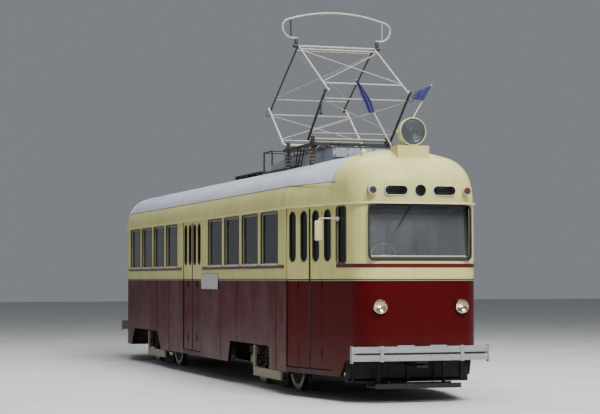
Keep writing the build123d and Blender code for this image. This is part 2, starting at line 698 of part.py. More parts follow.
# Hung under the cross beams: two equipment cases and an air tank
hung_top = CROSS_UNDER - FIT
hung = [block(x0, x1, y0, y1, under, hung_top) for x0, x1, y0, y1, under in CASES]
tank_from, tank_to, tank_y, tank_radius = TANK
tank_z = hung_top - tank_radius - SADDLE
tank = rod((tank_from, tank_y, tank_z), (tank_to, tank_y, tank_z), tank_radius)
tank_beam = cross_places[3]
hung.append(tank + block(tank_beam - BEAM / 2, tank_beam + BEAM / 2, tank_y - BEAM, tank_y + BEAM, tank_z, hung_top))
centre_gap = bolster_under - CENTRE_PLATE - 2 * FIT
hung += [Pos(x, 0, CENTRE_PLATE + FIT + centre_gap / 2) * Cylinder(CENTRE_RADIUS - 2 * FIT, centre_gap)
         for x in pivots]
pin_holes = joined(Pos(x, 0, CENTRE_PLATE) * Cylinder(CENTRE_PIN + FIT, 2 * WALL) for x in pivots)
save("underframe", joined(laid + hung) - pin_holes)
save("floor", prism(WALL + FIT, floor_under, FLOOR) - wells)

# Step wells: two treads with their risers, between two side sheets
step_plates = [
    (FIT, STEP_SHEET, SKIRT, tread - STEP_SHEET - FIT),
    (FIT, TREAD_DEPTH, tread - STEP_SHEET, tread),
    (TREAD_DEPTH + FIT, TREAD_DEPTH + STEP_SHEET, tread - STEP_SHEET, second_tread - STEP_SHEET - FIT),
    (TREAD_DEPTH + FIT, well_depth, second_tread - STEP_SHEET, second_tread),
    (well_depth + FIT, well_depth + STEP_SHEET, second_tread - STEP_SHEET, FLOOR)]
steps = [block(FIT, DOOR_WIDTH - FIT, y0, y1, z0, z1) for y0, y1, z0, z1 in step_plates]
cheek_front = WALL + CHEEK_IN
cheek_back = TREAD_DEPTH + STEP_SHEET
cheek_under = tread - STEP_SHEET
for x0, x1 in ((-STEP_SHEET, 0), (DOOR_WIDTH, DOOR_WIDTH + STEP_SHEET)):
    cheek = block(x0, x1, cheek_front, cheek_back, cheek_under, FLOOR)
    cheek += block(x0, x1, cheek_front, well_depth + STEP_SHEET, second_tread - STEP_SHEET, FLOOR)
    steps.append(cheek)
save("door_steps", each_doorway(joined(steps)))

# Door leaves: 1 and 2 fold towards the rear jamb, 4 and 3 towards the front jamb
leaf_length = (DOOR_WIDTH - 2 * JAMB_GAP - 2 * LEAF_GAP - MEETING_GAP) / 4
pivot_x = JAMB_GAP + PIVOT_INSET
pivot_y = LEAF_SETBACK + LEAF_THICK / 2
hinge_x = JAMB_GAP + leaf_length + LEAF_GAP / 2
hinge_y = LEAF_SETBACK - HINGE_OUT
guide_x = 2 * hinge_x - pivot_x
slot_middle = sill + SLOT_RISE + SLOT_HEIGHT / 2


def leaf(start):
    """Flat leaf with its round-ended window, from a given place along the doorway."""
    panel = block(start, start + leaf_length, LEAF_SETBACK, LEAF_SETBACK + LEAF_THICK, leaf_bottom, leaf_top)
    slot = SlotOverall(SLOT_HEIGHT, SLOT_WIDTH, rotation=90)
    return panel - Pos(start + leaf_length / 2, 0, slot_middle) * Rot(90, 0, 0) * extrude(slot, WALL, both=True)


def upright_pins(x, y, radius):
    """Pins between the leaf and its bearings above and below."""
    return rod((x, y, leaf_top), (x, y, drip - FIT), radius) + rod((x, y, tread + FIT), (x, y, leaf_bottom), radius)


def knuckles(toward, raised):
    """Hinge knuckles of one leaf. toward is -1 or 1, the side its leaf lies on."""
    made = []
    for rise in KNUCKLE_RISES:
        low = leaf_bottom + rise + raised
        made.append(rod((hinge_x, hinge_y, low), (hinge_x, hinge_y, low + KNUCKLE), HINGE_RADIUS))
        made.append(block(hinge_x, hinge_x + toward * HINGE_LUG, hinge_y - HINGE_RADIUS / 2,
                          LEAF_SETBACK + HINGE_RADIUS, low, low + KNUCKLE))
    return joined(made)


first_leaf = leaf(JAMB_GAP) + upright_pins(pivot_x, pivot_y, PIN_RADIUS) + knuckles(-1, 0)
second_leaf = leaf(JAMB_GAP + leaf_length + LEAF_GAP) + upright_pins(guide_x, pivot_y, PIN_RADIUS - 2)
second_leaf += knuckles(1, KNUCKLE + FIT)
swap = Plane((DOOR_WIDTH / 2, 0, 0), z_dir=(1, 0, 0))
leaves = [first_leaf, second_leaf, mirror(second_leaf, swap), mirror(first_leaf, swap)]
for name, f in zip(door_names, door_frames):
    for number, shape in enumerate(leaves, 1):
        save(f"door_{name}_leaf_{number}", f * shape)

# Front fittings, their backs cut to the body's surface
skin = prism(-FIT, 0, drip)
lamp_shape = on_end(LAMP_Y, LAMP_Z, Circle(LAMP_RADIUS), half - NOSE_RADIUS / 4, half + LAMP_PROUD) - skin
save("headlamps", both_sides(lamp_shape.solids().sort_by(Axis.X)[-1]))
tail_shape = on_end(LAMP_Y, TAIL_Z, Circle(TAIL_RADIUS), half - NOSE_RADIUS / 4, half + LAMP_PROUD) - skin
save("tail_lamps", mirror(both_sides(tail_shape.solids().sort_by(Axis.X)[-1]), Plane.YZ))
signs = []
sign_table = ((SIGN_OVAL_Y, SlotOverall(*SIGN_OVAL)), (0, Circle(SIGN_DISC)), (MARKER_Y, Circle(MARKER_RADIUS)))
for y, outline in sign_table:
    plate = on_end(y, SIGN_Z, outline, half - NOSE_RADIUS / 2, half + SIGN_PROUD) - outer_dome
    signs.append(both_sides(plate.solids().sort_by(Axis.X)[-1]))
save("destination_signs", joined(signs))


def bowed(back, thick, z0, z1):
    """Bowed beam across the end, its front face behind the bumper's by some distance."""
    radius = BUMPER_BOW
    front = half + BUMPER_OUT - back
    outer = Pos(front - radius, 0, (z0 + z1) / 2) * Cylinder(radius, z1 - z0)
    inner = Pos(front - radius, 0, (z0 + z1) / 2) * Cylinder(radius - thick, z1 - z0 + 2)
    return (outer - inner) & block(half - END_BAY, front, -BUMPER_HALF, BUMPER_HALF, z0, z1)


# Bumpers: two bowed beams on a narrower web, with clips, end flanges and stays
beam_high = (BUMPER_HIGH - BUMPER_LOW - BUMPER_SLIT) / 2
bumper = bowed(0, BUMPER_THICK, BUMPER_LOW, BUMPER_LOW + beam_high)
bumper += bowed(0, BUMPER_THICK, BUMPER_HIGH - beam_high, BUMPER_HIGH)
bumper += bowed(BUMPER_WEB, BUMPER_WEB, BUMPER_LOW, BUMPER_HIGH)
face_x = half + BUMPER_OUT
clip_x = face_x - BUMPER_CLIP ** 2 / (2 * BUMPER_BOW)
end_x = face_x - BUMPER_HALF ** 2 / (2 * BUMPER_BOW)
clip = block(clip_x - BUMPER_THICK, clip_x + CLIP_OVER, BUMPER_CLIP - CLIP_HALF, BUMPER_CLIP + CLIP_HALF,
             BUMPER_LOW - CLIP_OVER, BUMPER_HIGH + CLIP_OVER)
flange = block(end_x - 2 * BUMPER_THICK, end_x + CLIP_OVER, BUMPER_HALF - 1, BUMPER_HALF + END_FLANGE,
               BUMPER_LOW - 3 * CLIP_OVER, BUMPER_HIGH + CLIP_OVER)
stay = block(half + FIT, face_x - BUMPER_THICK + 2, *STAY, BUMPER_LOW + CLIP_OVER, BUMPER_HIGH - CLIP_OVER)
save("bumpers", both_ends(bumper + both_sides(clip + flange + stay)))

# Drawbars with an upright pin hole in the clevis
bar_wide, bar_high = BAR_HALF
lug_back, lug_front, lug_half = BAR_LUG
bar = block(half - BAR_BACK, half - CLEVIS_BACK + 20, -bar_wide, bar_wide, COUPLER_Z - bar_high,
            COUPLER_Z + bar_high)
bar += block(half - CLEVIS_BACK, half + CLEVIS_REACH, -CLEVIS_HALF, CLEVIS_HALF, COUPLER_Z - CLEVIS_HIGH / 2,
             COUPLER_Z + CLEVIS_HIGH / 2)
bar -= block(half - SLOT_BACK, half + 2 * CLEVIS_REACH, -2 * CLEVIS_HALF, 2 * CLEVIS_HALF,
             COUPLER_Z - CLEVIS_GAP / 2, COUPLER_Z + CLEVIS_GAP / 2)
bar -= Pos(half, 0, COUPLER_Z) * Cylinder(PIN_HOLE, 2 * CLEVIS_HIGH)
bar += block(half - lug_back, half - lug_front, -lug_half, lug_half, COUPLER_Z, headstock_under - FIT)
save("drawbars", both_ends(bar))

# Lifeguard tray under the front
tray_front_x = half - TRAY_FRONT
tray_back_x = half - TRAY_BACK
bar_long, bar_under, bar_over = TRAY_BAR
slat_wide, slat_half = SLAT
guard = [block(x - bar_long, x, -TRAY_HALF, TRAY_HALF, TRAY_Z - bar_under, TRAY_Z + bar_over)
         for x in (tray_front_x, tray_back_x)]
for i in range(SLAT_COUNT):
    y = (2 * i / (SLAT_COUNT - 1) - 1) * (TRAY_HALF - slat_wide / 2)
    guard.append(block(tray_back_x - 1, tray_front_x - bar_long + 1, y - slat_wide / 2, y + slat_wide / 2,
                       TRAY_Z - slat_half, TRAY_Z + slat_half))
hanger_back, hanger_front, hanger_y, hanger_half = TRAY_HANGER
guard += [block(half - hanger_back, half - hanger_front, y - hanger_half, y + hanger_half, TRAY_Z,
                headstock_under - FIT) for y in (-hanger_y, hanger_y)]
save("lifeguard", joined(guard))

# Roof headlamp: a deep bowl on a stem over a box, with a hooded ventilator beside it
lamp_x = half - ROOF_LAMP_BACK
lamp_z = crown_z + ROOF_LAMP_RISE
box_long, box_wide, box_over = LAMP_BOX
lamp_box = block(lamp_x - box_long / 2, lamp_x + box_long / 2, -box_wide / 2, box_wide / 2, crown_z - SEAT_DEPTH,
                 crown_z + box_over) - outer_dome
hood_back, hood_y, hood_under, hood_radius = HOOD
hood_foot = (half - hood_back, -hood_y, crown_z - SEAT_DEPTH)
hood_head = (half - hood_back, -hood_y, crown_z - hood_under)
hood = (rod(hood_foot, hood_head, hood_radius) + Pos(*hood_head) * Sphere(hood_radius)) - outer_dome
bowl_front = lamp_x + BOWL_FRONT
rim_back = bowl_front - BOWL_RIM
bowl_back = rim_back - BOWL_DEEP
bowl_middle = (rim_back - BOWL_DEEP * 0.74, ROOF_LAMP_RADIUS * 0.74)
bowl_half = Polyline((bowl_back, BOWL_NECK), (bowl_back, 0), (bowl_front, 0), (bowl_front, ROOF_LAMP_RADIUS),
                     (rim_back, ROOF_LAMP_RADIUS))
bowl_half += ThreePointArc((rim_back, ROOF_LAMP_RADIUS), bowl_middle, (bowl_back, BOWL_NECK))
bowl = Pos(0, 0, lamp_z) * revolve(Plane.XZ * make_face(bowl_half), Axis.X)
stem = rod((lamp_x, 0, crown_z), (lamp_x, 0, lamp_z), ROOF_LAMP_RADIUS / 3)
save("roof_headlamp", lamp_box + hood.solids().sort_by(Axis.Z)[-1] + stem + bowl)

# Mirror on its arm, and the blank board under the windows
plate_half, plate_in, plate_out = ARM_PLATE
mirror_x = half - MIRROR_BACK
arm_x = mirror_x - 50
arm_in = wall_at(arm_x) + plate_out
mirror_y = wall_at(arm_x) + MIRROR_OUT
plate = block(arm_x - plate_half, arm_x + plate_half, -arm_in - 10, plate_in + plate_out - arm_in,
              ARM_Z - plate_half, ARM_Z + plate_half) - prism(-FIT, 0, drip)
arm = rod((arm_x, -arm_in, ARM_Z), (mirror_x, 10 - mirror_y, ARM_Z - 40), ARM_RADIUS) - prism(-FIT, 0, drip)
dx, dy, dz = MIRROR_HALF
save("mirror", plate + arm + Pos(mirror_x, -mirror_y, MIRROR_Z) * Box(2 * dx, 2 * dy, 2 * dz))
board_gap, board_long, board_under, board_high, board_thick = BOARD
board_x = MIDDLE_DOOR + DOOR_WIDTH + board_gap
board_y = -side - BEAD_PROUD - FIT
save("route_board", block(board_x, board_x + board_long, board_y - board_thick, board_y, belt - board_under,
                          belt - board_under + board_high))

# Poles with their flags, each flag's cloth given on its pole: share of the pole from, to, then widths there
pole_x = half - POLE_BACK
poles = []
flags = []
for (foot_y, foot_rise), (tip_y, tip_rise), shape in zip(POLE_FEET, POLE_TIPS, FLAG_SHAPES):
    foot = Vector(pole_x, foot_y, crown_z + foot_rise)
    tip = Vector(pole_x, tip_y, crown_z + tip_rise)
    along = tip - foot
    pole = rod(foot - along * 0.2, tip, POLE_RADIUS) - outer_dome
    poles.append(pole.solids().sort_by(Axis.Z)[-1])
    aside = Vector(0, -along.Z, along.Y).normalized()
    low, high, low_width, high_width = shape
    edge = aside * (POLE_RADIUS + FIT)
    corners = [foot + along * low + edge, foot + along * high + edge, foot + along * high + aside * high_width,
               foot + along * low + aside * low_width]
    cloth = make_face(Polyline(*corners, close=True))
    flags.append(extrude(Pos(-FLAG_THICK / 2, 0, 0) * cloth, FLAG_THICK, dir=(1, 0, 0)))
save("flag_poles", joined(poles))
save("flags", joined(flags))

# Saloon: seats in rows, grab rails with their stanchions
front_row = straight - FIRST_ROW
rear_row = LAST_ROW - straight
front_last = MIDDLE_DOOR + DOOR_WIDTH + ROW_GAPS[0]
rear_last = MIDDLE_DOOR - ROW_GAPS[1]
rows = [front_row - i * SEAT_PITCH for i in range(int((front_row - front_last) // SEAT_PITCH) + 1)]
rows += [rear_row + i * SEAT_PITCH for i in range(int((rear_last - rear_row) // SEAT_PITCH) + 1)]
seats = []
for x in rows:
    x0, x1 = x - SEAT_HALF, x + SEAT_HALF
    for y0, y1 in seat_places:
        middle = (y0 + y1) / 2
        seats.append(block(x0, x1, y0, y1, SEAT_Z, SEAT_Z + CUSHION)
                     + block(x0 - BACK_THICK, x0 + 1, y0, y1, SEAT_Z, BACK_TOP)
                     + block(x0, x1 - PEDESTAL, middle - PEDESTAL, middle + PEDESTAL, FLOOR + FIT, SEAT_Z + 1))
save("seats", joined(seats))
rail_end = straight - RAIL_GAP
rails = [rod((-rail_end, y, RAIL_Z), (rail_end, y, RAIL_Z), RAIL_RADIUS) for y in RAIL_PLACES]
rails += [rod((x, y, FLOOR + FIT), (x, y, RAIL_Z), RAIL_RADIUS - 1)
          for x in (-rail_end, -STANCHION, STANCHION, rail_end) for y in RAIL_PLACES]
save("handrails", joined(rails))

# Cab: partition behind the driver, desk with its hand wheel, chair
part_y1 = side - PARTITION_LEFT
part_y0 = part_y1 - PARTITION_WIDTH
partition = block(straight - PARTITION_THICK, straight, part_y0, part_y1, FLOOR + FIT, PARTITION_TOP)
partition -= block(straight - 2 * WALL, straight + WALL, part_y0 + PARTITION_EDGE, part_y1 - PARTITION_EDGE,
                   sill - PARTITION_EDGE / 2, PARTITION_TOP - PARTITION_EDGE)
save("cab_partition", partition)
desk_x = half - DESK_BACK
desk_foot = DESK_HALF - 60
desk = block(desk_x, desk_x + DESK_DEEP, -DESK_HALF, DESK_HALF, DESK_TOP - DESK_HIGH, DESK_TOP)
desk += block(desk_x + 20, desk_x + 120, -desk_foot, desk_foot, FLOOR + FIT, DESK_TOP - 1)
wheel_x = desk_x - 20
tilt = Pos(wheel_x, WHEEL_Y, WHEEL_Z) * Rot(0, WHEEL_TILT, 0)
desk += tilt * Torus(WHEEL_RIM, 14) + tilt * Box(2 * WHEEL_RIM - 10, 24, 12)
desk += rod((wheel_x, WHEEL_Y, WHEEL_Z), (desk_x + 70, WHEEL_Y, DESK_TOP - 10), 16)
chair_x = half - CHAIR_BACK
chair_long, chair_wide = CHAIR_HALF
chair = block(chair_x - chair_long, chair_x + chair_long, CHAIR_Y - chair_wide, CHAIR_Y + chair_wide,
              CHAIR_TOP - CUSHION, CHAIR_TOP)
chair += block(chair_x - chair_long - BACK_THICK, chair_x - chair_long + 1, CHAIR_Y - chair_wide,
               CHAIR_Y + chair_wide, CHAIR_TOP - CUSHION, CHAIR_TOP + CHAIR_RISE)
chair += rod((chair_x, CHAIR_Y, FLOOR + FIT), (chair_x, CHAIR_Y, CHAIR_TOP - CUSHION + 10), 45)
save("cab_fittings", desk + chair)


def turned(points):
    """Solid turned about a crosswise axle, from a profile of radius against distance across."""
    return revolve(Plane.XY * make_face(Polyline(*points, close=True)), Axis.Y)


# Wheelsets: an axle with its two flanged wheels
tread_out = GAUGE / 2 + TYRE_WIDTH - FLANGE_THICK - 5
flange_in = tread_out - TYRE_WIDTH
hub_bore = AXLE_RADIUS - 5
wheel = turned([
    (hub_bore, flange_in), (HUB_RADIUS, flange_in - 20), (HUB_RADIUS, flange_in), (TYRE_INSIDE, flange_in + 45),
    (TYRE_INSIDE, flange_in), (WHEEL_RADIUS + FLANGE - 6, flange_in), (WHEEL_RADIUS + FLANGE, flange_in + 8),
    (WHEEL_RADIUS + FLANGE, flange_in + 16), (WHEEL_RADIUS + 4, flange_in + FLANGE_THICK),
    (WHEEL_RADIUS, flange_in + FLANGE_THICK + 8), (WHEEL_RADIUS - 4, tread_out), (TYRE_INSIDE + 10, tread_out),
    (TYRE_INSIDE, flange_in + 70), (HUB_RADIUS + 10, flange_in + 50), (HUB_RADIUS, tread_out + 10),
    (hub_bore, tread_out + 10)])
axle = turned([(0, 0), (AXLE_RADIUS, 0), (AXLE_RADIUS, tread_out + 12), (JOURNAL_RADIUS, tread_out + 12),
               (JOURNAL_RADIUS, JOURNAL_END), (0, JOURNAL_END)])
wheelset = both_sides(wheel + axle)
for end, x in zip(("front", "rear"), pivots):
    for number, offset in enumerate((WHEELBASE / 2, -WHEELBASE / 2), 1):
        save(f"{end}_wheelset_{number}", Pos(x + offset, 0, WHEEL_RADIUS) * wheelset)

# Bogies: side frames with axle boxes, a bolster on two cross beams, motors, rail brakes and side guards
frame_top = FRAME_UNDER + FRAME_DEEP
deep_half, deep_drop, deep_rise = CENTRE_DEEP
side_frame = block(-SIDE_FRAME_REACH, SIDE_FRAME_REACH, SIDE_FRAME_IN, SIDE_FRAME_OUT, FRAME_UNDER, frame_top)
side_frame += block(-deep_half, deep_half, SIDE_FRAME_IN, SIDE_FRAME_OUT, FRAME_UNDER - deep_drop,
                    FRAME_UNDER + deep_rise)
box_out = SIDE_FRAME_OUT - BOX_BACK
cover_radius, cover_proud = BOX_COVER
for x in (-WHEELBASE / 2, WHEELBASE / 2):
    side_frame += block(x - AXLE_BOX, x + AXLE_BOX, SIDE_FRAME_IN, box_out, WHEEL_RADIUS - AXLE_BOX,
                        FRAME_UNDER + 10)
    side_frame += rod((x, box_out - 1, WHEEL_RADIUS), (x, box_out + cover_proud, WHEEL_RADIUS), cover_radius)
    side_frame -= rod((x, 0, WHEEL_RADIUS), (x, JOURNAL_END + 1, WHEEL_RADIUS), JOURNAL_RADIUS + FIT)
side_frame += block(-RAIL_BRAKE, RAIL_BRAKE, *SHOE)
hanger_at, hanger_long, hanger_in, hanger_out = SHOE_HANGER
for x in (-hanger_at, hanger_at):
    x0, x1 = x - hanger_long, x + hanger_long
    side_frame += block(x0, x1, hanger_in, hanger_out, SHOE[3] - 1, FRAME_UNDER)
    side_frame += block(x0, x1, hanger_in, SIDE_FRAME_IN + 5, FRAME_UNDER - 2 * hanger_long, FRAME_UNDER)
guard_back, guard_long, guard_in, guard_out = GUARD_HANGER
hanger_y = (SIDE_FRAME_OUT - guard_in - 5, SIDE_FRAME_OUT - guard_out)
guard_hang_x = GUARD_FRONT - guard_back
hanger_low = GUARD_HIGH - guard_in
leg_x = (10 - GUARD_BACK, GUARD_LEG - GUARD_BACK)
side_frame += block(guard_hang_x - 20, guard_hang_x - 20 + guard_long, *hanger_y, hanger_low,
                    WHEEL_RADIUS - AXLE_BOX + 5)
side_frame += block(*leg_x, *hanger_y, hanger_low, FRAME_UNDER + 10)
bogie = both_sides(side_frame)
cross_at, cross_half, cross_low, cross_high = CROSS_BEAM
for x in (-cross_at, cross_at):
    bogie += block(x - cross_half, x + cross_half, -SIDE_FRAME_IN - 5, SIDE_FRAME_IN + 5, cross_low, cross_high)
bolster_long, bolster_wide, bolster_low, bolster_high = BOLSTER
bogie += block(-bolster_long, bolster_long, -bolster_wide, bolster_wide, bolster_low, bolster_high)
bogie += rod((0, 0, bolster_high - 1), (0, 0, CENTRE_PLATE), CENTRE_RADIUS)
bogie += rod((0, 0, CENTRE_PLATE - 1), (0, 0, CENTRE_PLATE + 40), CENTRE_PIN)
motor_z = WHEEL_RADIUS + MOTOR_LIFT
for x in (-MOTOR_OUT, MOTOR_OUT):
    bogie += rod((x, -MOTOR_HALF, motor_z), (x, MOTOR_HALF, motor_z), MOTOR_RADIUS)
bogie += block(-MOTOR_OUT, MOTOR_OUT, -CENTRE_RADIUS, CENTRE_RADIUS, FRAME_UNDER + SPINE[0], FRAME_UNDER + SPINE[1])
guard_face = (GUARD_OUT, GUARD_OUT + GUARD_SHEET)
shield = block(GUARD_LEG - 50 - GUARD_BACK, GUARD_FRONT, *guard_face, GUARD_LOW, GUARD_HIGH)
shield += block(-GUARD_BACK, GUARD_LEG - GUARD_BACK, *guard_face, GUARD_LOW, GUARD_POST)
bracket_long, bracket_low, bracket_high = GUARD_BRACKET
for x in (20 - GUARD_BACK, guard_hang_x):
    shield += block(x, x + bracket_long, hanger_y[1] + FIT, GUARD_OUT + 10, GUARD_HIGH - bracket_low,
                    GUARD_HIGH - bracket_high)
for end, x in zip(("front", "rear"), pivots):
    save(f"{end}_bogie_frame", Pos(x, 0, 0) * bogie)
    save(f"{end}_bogie_shields", Pos(x, 0, 0) * both_sides(shield))

# Pantograph: four tube frames and the collector bow
half_arm = PANTO_WIDTH / 2
upper_y = half_arm - ARM_TUBE - SLEEVE_GAP - SLEEVE_LENGTH / 2
sleeve_radius = KNEE_PIN + FIT + SLEEVE_WALL


def panto_rod(a, b, radius):
    """Tube between two points given from the pantograph's middle."""
    return Pos(panto_x, 0, 0) * rod(a, b, radius)


def truss(low, high, arm_y, arm_radius, shares):
    """Two arms with cross bars at some shares of their length, and crossed braces between the bars."""
    def at(share, y):
        return low[0] + (high[0] - low[0]) * share, y, low[1] + (high[1] - low[1]) * share

    made = both_sides(panto_rod(at(0, arm_y), at(1, arm_y), arm_radius))
    for share in shares:
        made += panto_rod(at(share, -arm_y), at(share, arm_y), BAR_TUBE)
    for turn, radius in zip((-1, 1), BRACES):
        made += panto_rod(at(shares[0] + 0.03, turn * arm_y), at(shares[-1] - 0.03, -turn * arm_y), radius)
    return made


lower_frame = truss((PANTO_HALF, shaft_z), (knee_x, knee_z), half_arm, ARM_TUBE, (0.13, 0.83))
shaft_end = half_arm + SHAFT_OVER
lower_frame += panto_rod((PANTO_HALF, -shaft_end, shaft_z), (PANTO_HALF, shaft_end, shaft_z), SHAFT_TUBE)
pin_in = upper_y - SLEEVE_LENGTH / 2 - KNEE_END
lower_frame += both_sides(panto_rod((knee_x, pin_in, knee_z), (knee_x, half_arm + ARM_TUBE, knee_z), KNEE_PIN))

run = Vector(APEX_HALF - knee_x, apex_z - knee_z).normalized() * (KNEE_PIN + FIT + SLEEVE_WALL / 2)
upper_frame = truss((knee_x + run.X, knee_z + run.Y), (APEX_HALF, apex_z), upper_y, UPPER_TUBE, (0.14, 0.93))
bar_end = half_arm + TOP_OVER
upper_frame += panto_rod((APEX_HALF, -bar_end, apex_z), (APEX_HALF, bar_end, apex_z), TOP_TUBE)
sleeve_y0, sleeve_y1 = upper_y - SLEEVE_LENGTH / 2, upper_y + SLEEVE_LENGTH / 2
upper_frame += both_sides(panto_rod((knee_x, sleeve_y0, knee_z), (knee_x, sleeve_y1, knee_z), sleeve_radius))
knee_bore = panto_rod((knee_x, sleeve_y0 - 1, knee_z), (knee_x, sleeve_y1 + 1, knee_z), KNEE_PIN + FIT)
upper_frame -= both_sides(knee_bore)
turn_back = Pos(panto_x, 0, 0) * Rot(0, 0, 180) * Pos(-panto_x, 0, 0)
for name, shape in (("lower", lower_frame), ("upper", upper_frame)):
    save(f"pantograph_{name}_front", shape)
    save(f"pantograph_{name}_rear", turn_back * shape)

# Collector bow: a shallow arch whose ends curl round and back to the front frame's top bar
horn_z = apex_z + HORN_RISE
arch_middle = Vector(0, bow_top - BOW_TUBE - BOW_ARCH)
turn_at = asin((BOW_WIDTH / 2 - HORN_OUT) / (BOW_ARCH - HORN_OUT))


def toward(middle, angle, radius):
    """Point on a circle, the angle from straight up."""
    return middle + Vector(sin(angle), cos(angle)) * radius


horn_middle = toward(arch_middle, turn_at, BOW_ARCH - HORN_OUT)
arch_end = toward(arch_middle, turn_at, BOW_ARCH)
widest = toward(horn_middle, radians(90), HORN_OUT)
horn_in = horn_middle.Y - horn_z
curl_middle = widest - Vector(horn_in, 0)


def on_bow(point):
    """A place on the bow: across, then height."""
    return Vector(panto_x + APEX_HALF, point.X, point.Y)


curl_end = curl_middle - Vector(0, horn_in)
bow_places = [Vector(half_arm - SPRING_BOX - 7, horn_z), curl_end, toward(curl_middle, radians(135), horn_in),
              widest, toward(horn_middle, (turn_at + radians(90)) / 2, HORN_OUT), arch_end,
              toward(arch_middle, turn_at / 2, BOW_ARCH), toward(arch_middle, 0, BOW_ARCH)]
bow_points = [on_bow(place) for place in bow_places]
path = Wire([Line(*bow_points[:2])] + [ThreePointArc(*bow_points[i:i + 3]) for i in (1, 3, 5)])
half_bow = sweep(Plane(path @ 0, z_dir=path % 0) * Circle(BOW_TUBE), path)
post_top = arch_middle.Y + sqrt(BOW_ARCH ** 2 - BOW_POST_Y ** 2)
half_bow += panto_rod((APEX_HALF, BOW_POST_Y, horn_z), (APEX_HALF, BOW_POST_Y, post_top), BOW_POST)
box_x0, box_x1 = panto_x + APEX_HALF - SPRING_BOX, panto_x + APEX_HALF + SPRING_BOX
half_bow += block(box_x0, box_x1, half_arm - SPRING_BOX, half_arm + SPRING_BOX, apex_z + SPRING_BOX, horn_z + 10)
foot_ends = [(APEX_HALF, half_arm + reach, apex_z) for reach in (-SPRING_BOX, SPRING_BOX)]
half_bow += panto_rod(*foot_ends, TOP_TUBE + FIT + SLEEVE_WALL)
hole_ends = [(APEX_HALF, half_arm + reach, apex_z) for reach in (-2 * SPRING_BOX, 2 * SPRING_BOX)]
half_bow -= panto_rod(*hole_ends, TOP_TUBE + FIT)
save("pantograph_bow", both_sides(half_bow))

# Pantograph's base on its insulators, with the shaft bearings
base_z = crown_z + BASE_RISE
base = both_sides(block(panto_x - BASE_REACH, panto_x + BASE_REACH, BASE_Y - BASE_BEAM, BASE_Y + BASE_BEAM, base_z,
                        base_z + BASE_HIGH))
for x in (panto_x - PANTO_HALF - 2 * BASE_BEAM, panto_x + PANTO_HALF + 2 * BASE_BEAM):
    base += block(x - BASE_BEAM, x + BASE_BEAM, -BASE_Y, BASE_Y, base_z, base_z + BASE_HIGH)
for x in (-PANTO_HALF, PANTO_HALF):
    for y in (-BASE_Y, BASE_Y):
        bearing = block(panto_x + x - BEARING, panto_x + x + BEARING, y - BASE_BEAM + 2, y + BASE_BEAM - 2,
                        base_z + BASE_HIGH / 2, shaft_z + BEARING)
        base += bearing - panto_rod((x, y - BEARING, shaft_z), (x, y + BEARING, shaft_z), SHAFT_TUBE + FIT)
        insulator = rod((panto_x + x, y, crown_z - SEAT_DEPTH), (panto_x + x, y, base_z + 1), INSULATOR)
        for rise in SHED_RISES:
            insulator += Pos(panto_x + x, y, crown_z + rise) * Cylinder(SHED, 16)
        base += insulator - outer_body
save("pantograph_base", base)

# Long equipment case on the roof under the pantograph, lower towards the back, with a small rail behind it
case_back, case_front, case_top = panto_x - CASE_BACK, panto_x + CASE_FRONT, crown_z + CASE_RISE
case_side = Polyline((case_back, crown_z - SEAT_DEPTH), (case_front, crown_z - SEAT_DEPTH), (case_front, case_top),
                     (case_back + CASE_SLOPE, case_top), (case_back, case_top - CASE_DROP), close=True)
case = extrude(Plane.XZ * make_face(case_side), CASE_HALF, both=True)
far, near, reach, rise, thick = GANTRY
gantry_top = crown_z + rise
gantry = [rod((panto_x - x, y, crown_z - SEAT_DEPTH), (panto_x - x, y, gantry_top), thick)
          for x in (far, near) for y in (-reach, reach)]
gantry += [rod((panto_x - far, y, gantry_top), (panto_x - near, y, gantry_top), thick - 2) for y in (-reach, reach)]
gantry += [rod((panto_x - x, -reach, gantry_top), (panto_x - x, reach, gantry_top), thick - 3) for x in (far, near)]
save("roof_equipment", (case + joined(gantry)) - outer_body)
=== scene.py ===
"""Lead motor car of a four-axle tram: paint, glass, rubber, cloth and small fittings over the solid model."""
import math

import bmesh
import bpy
from bpy.props import FloatProperty, FloatVectorProperty, PointerProperty
from mathutils import Matrix, Vector, geometry


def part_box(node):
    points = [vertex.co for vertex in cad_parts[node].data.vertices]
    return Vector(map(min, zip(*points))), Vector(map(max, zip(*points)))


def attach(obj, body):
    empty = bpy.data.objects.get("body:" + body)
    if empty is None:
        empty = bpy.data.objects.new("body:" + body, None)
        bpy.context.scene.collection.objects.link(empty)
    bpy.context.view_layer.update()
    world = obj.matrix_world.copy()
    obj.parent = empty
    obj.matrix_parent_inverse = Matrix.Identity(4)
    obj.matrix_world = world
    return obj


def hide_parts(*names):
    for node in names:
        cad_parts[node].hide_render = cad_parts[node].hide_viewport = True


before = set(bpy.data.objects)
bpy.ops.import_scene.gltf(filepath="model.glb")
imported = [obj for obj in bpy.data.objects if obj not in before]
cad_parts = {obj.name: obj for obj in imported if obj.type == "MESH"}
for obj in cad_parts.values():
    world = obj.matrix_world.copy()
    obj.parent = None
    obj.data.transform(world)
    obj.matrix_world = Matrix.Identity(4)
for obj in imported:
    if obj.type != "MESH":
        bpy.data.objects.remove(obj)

bl_info = {
    "name": "Tram motor car",
    "version": (1, 0, 0),
    "blender": (4, 5, 0),
    "location": "3D View > Sidebar > Tram",
    "description": "Finishes and small fittings of a tram's lead motor car",
    "category": "Object",
}

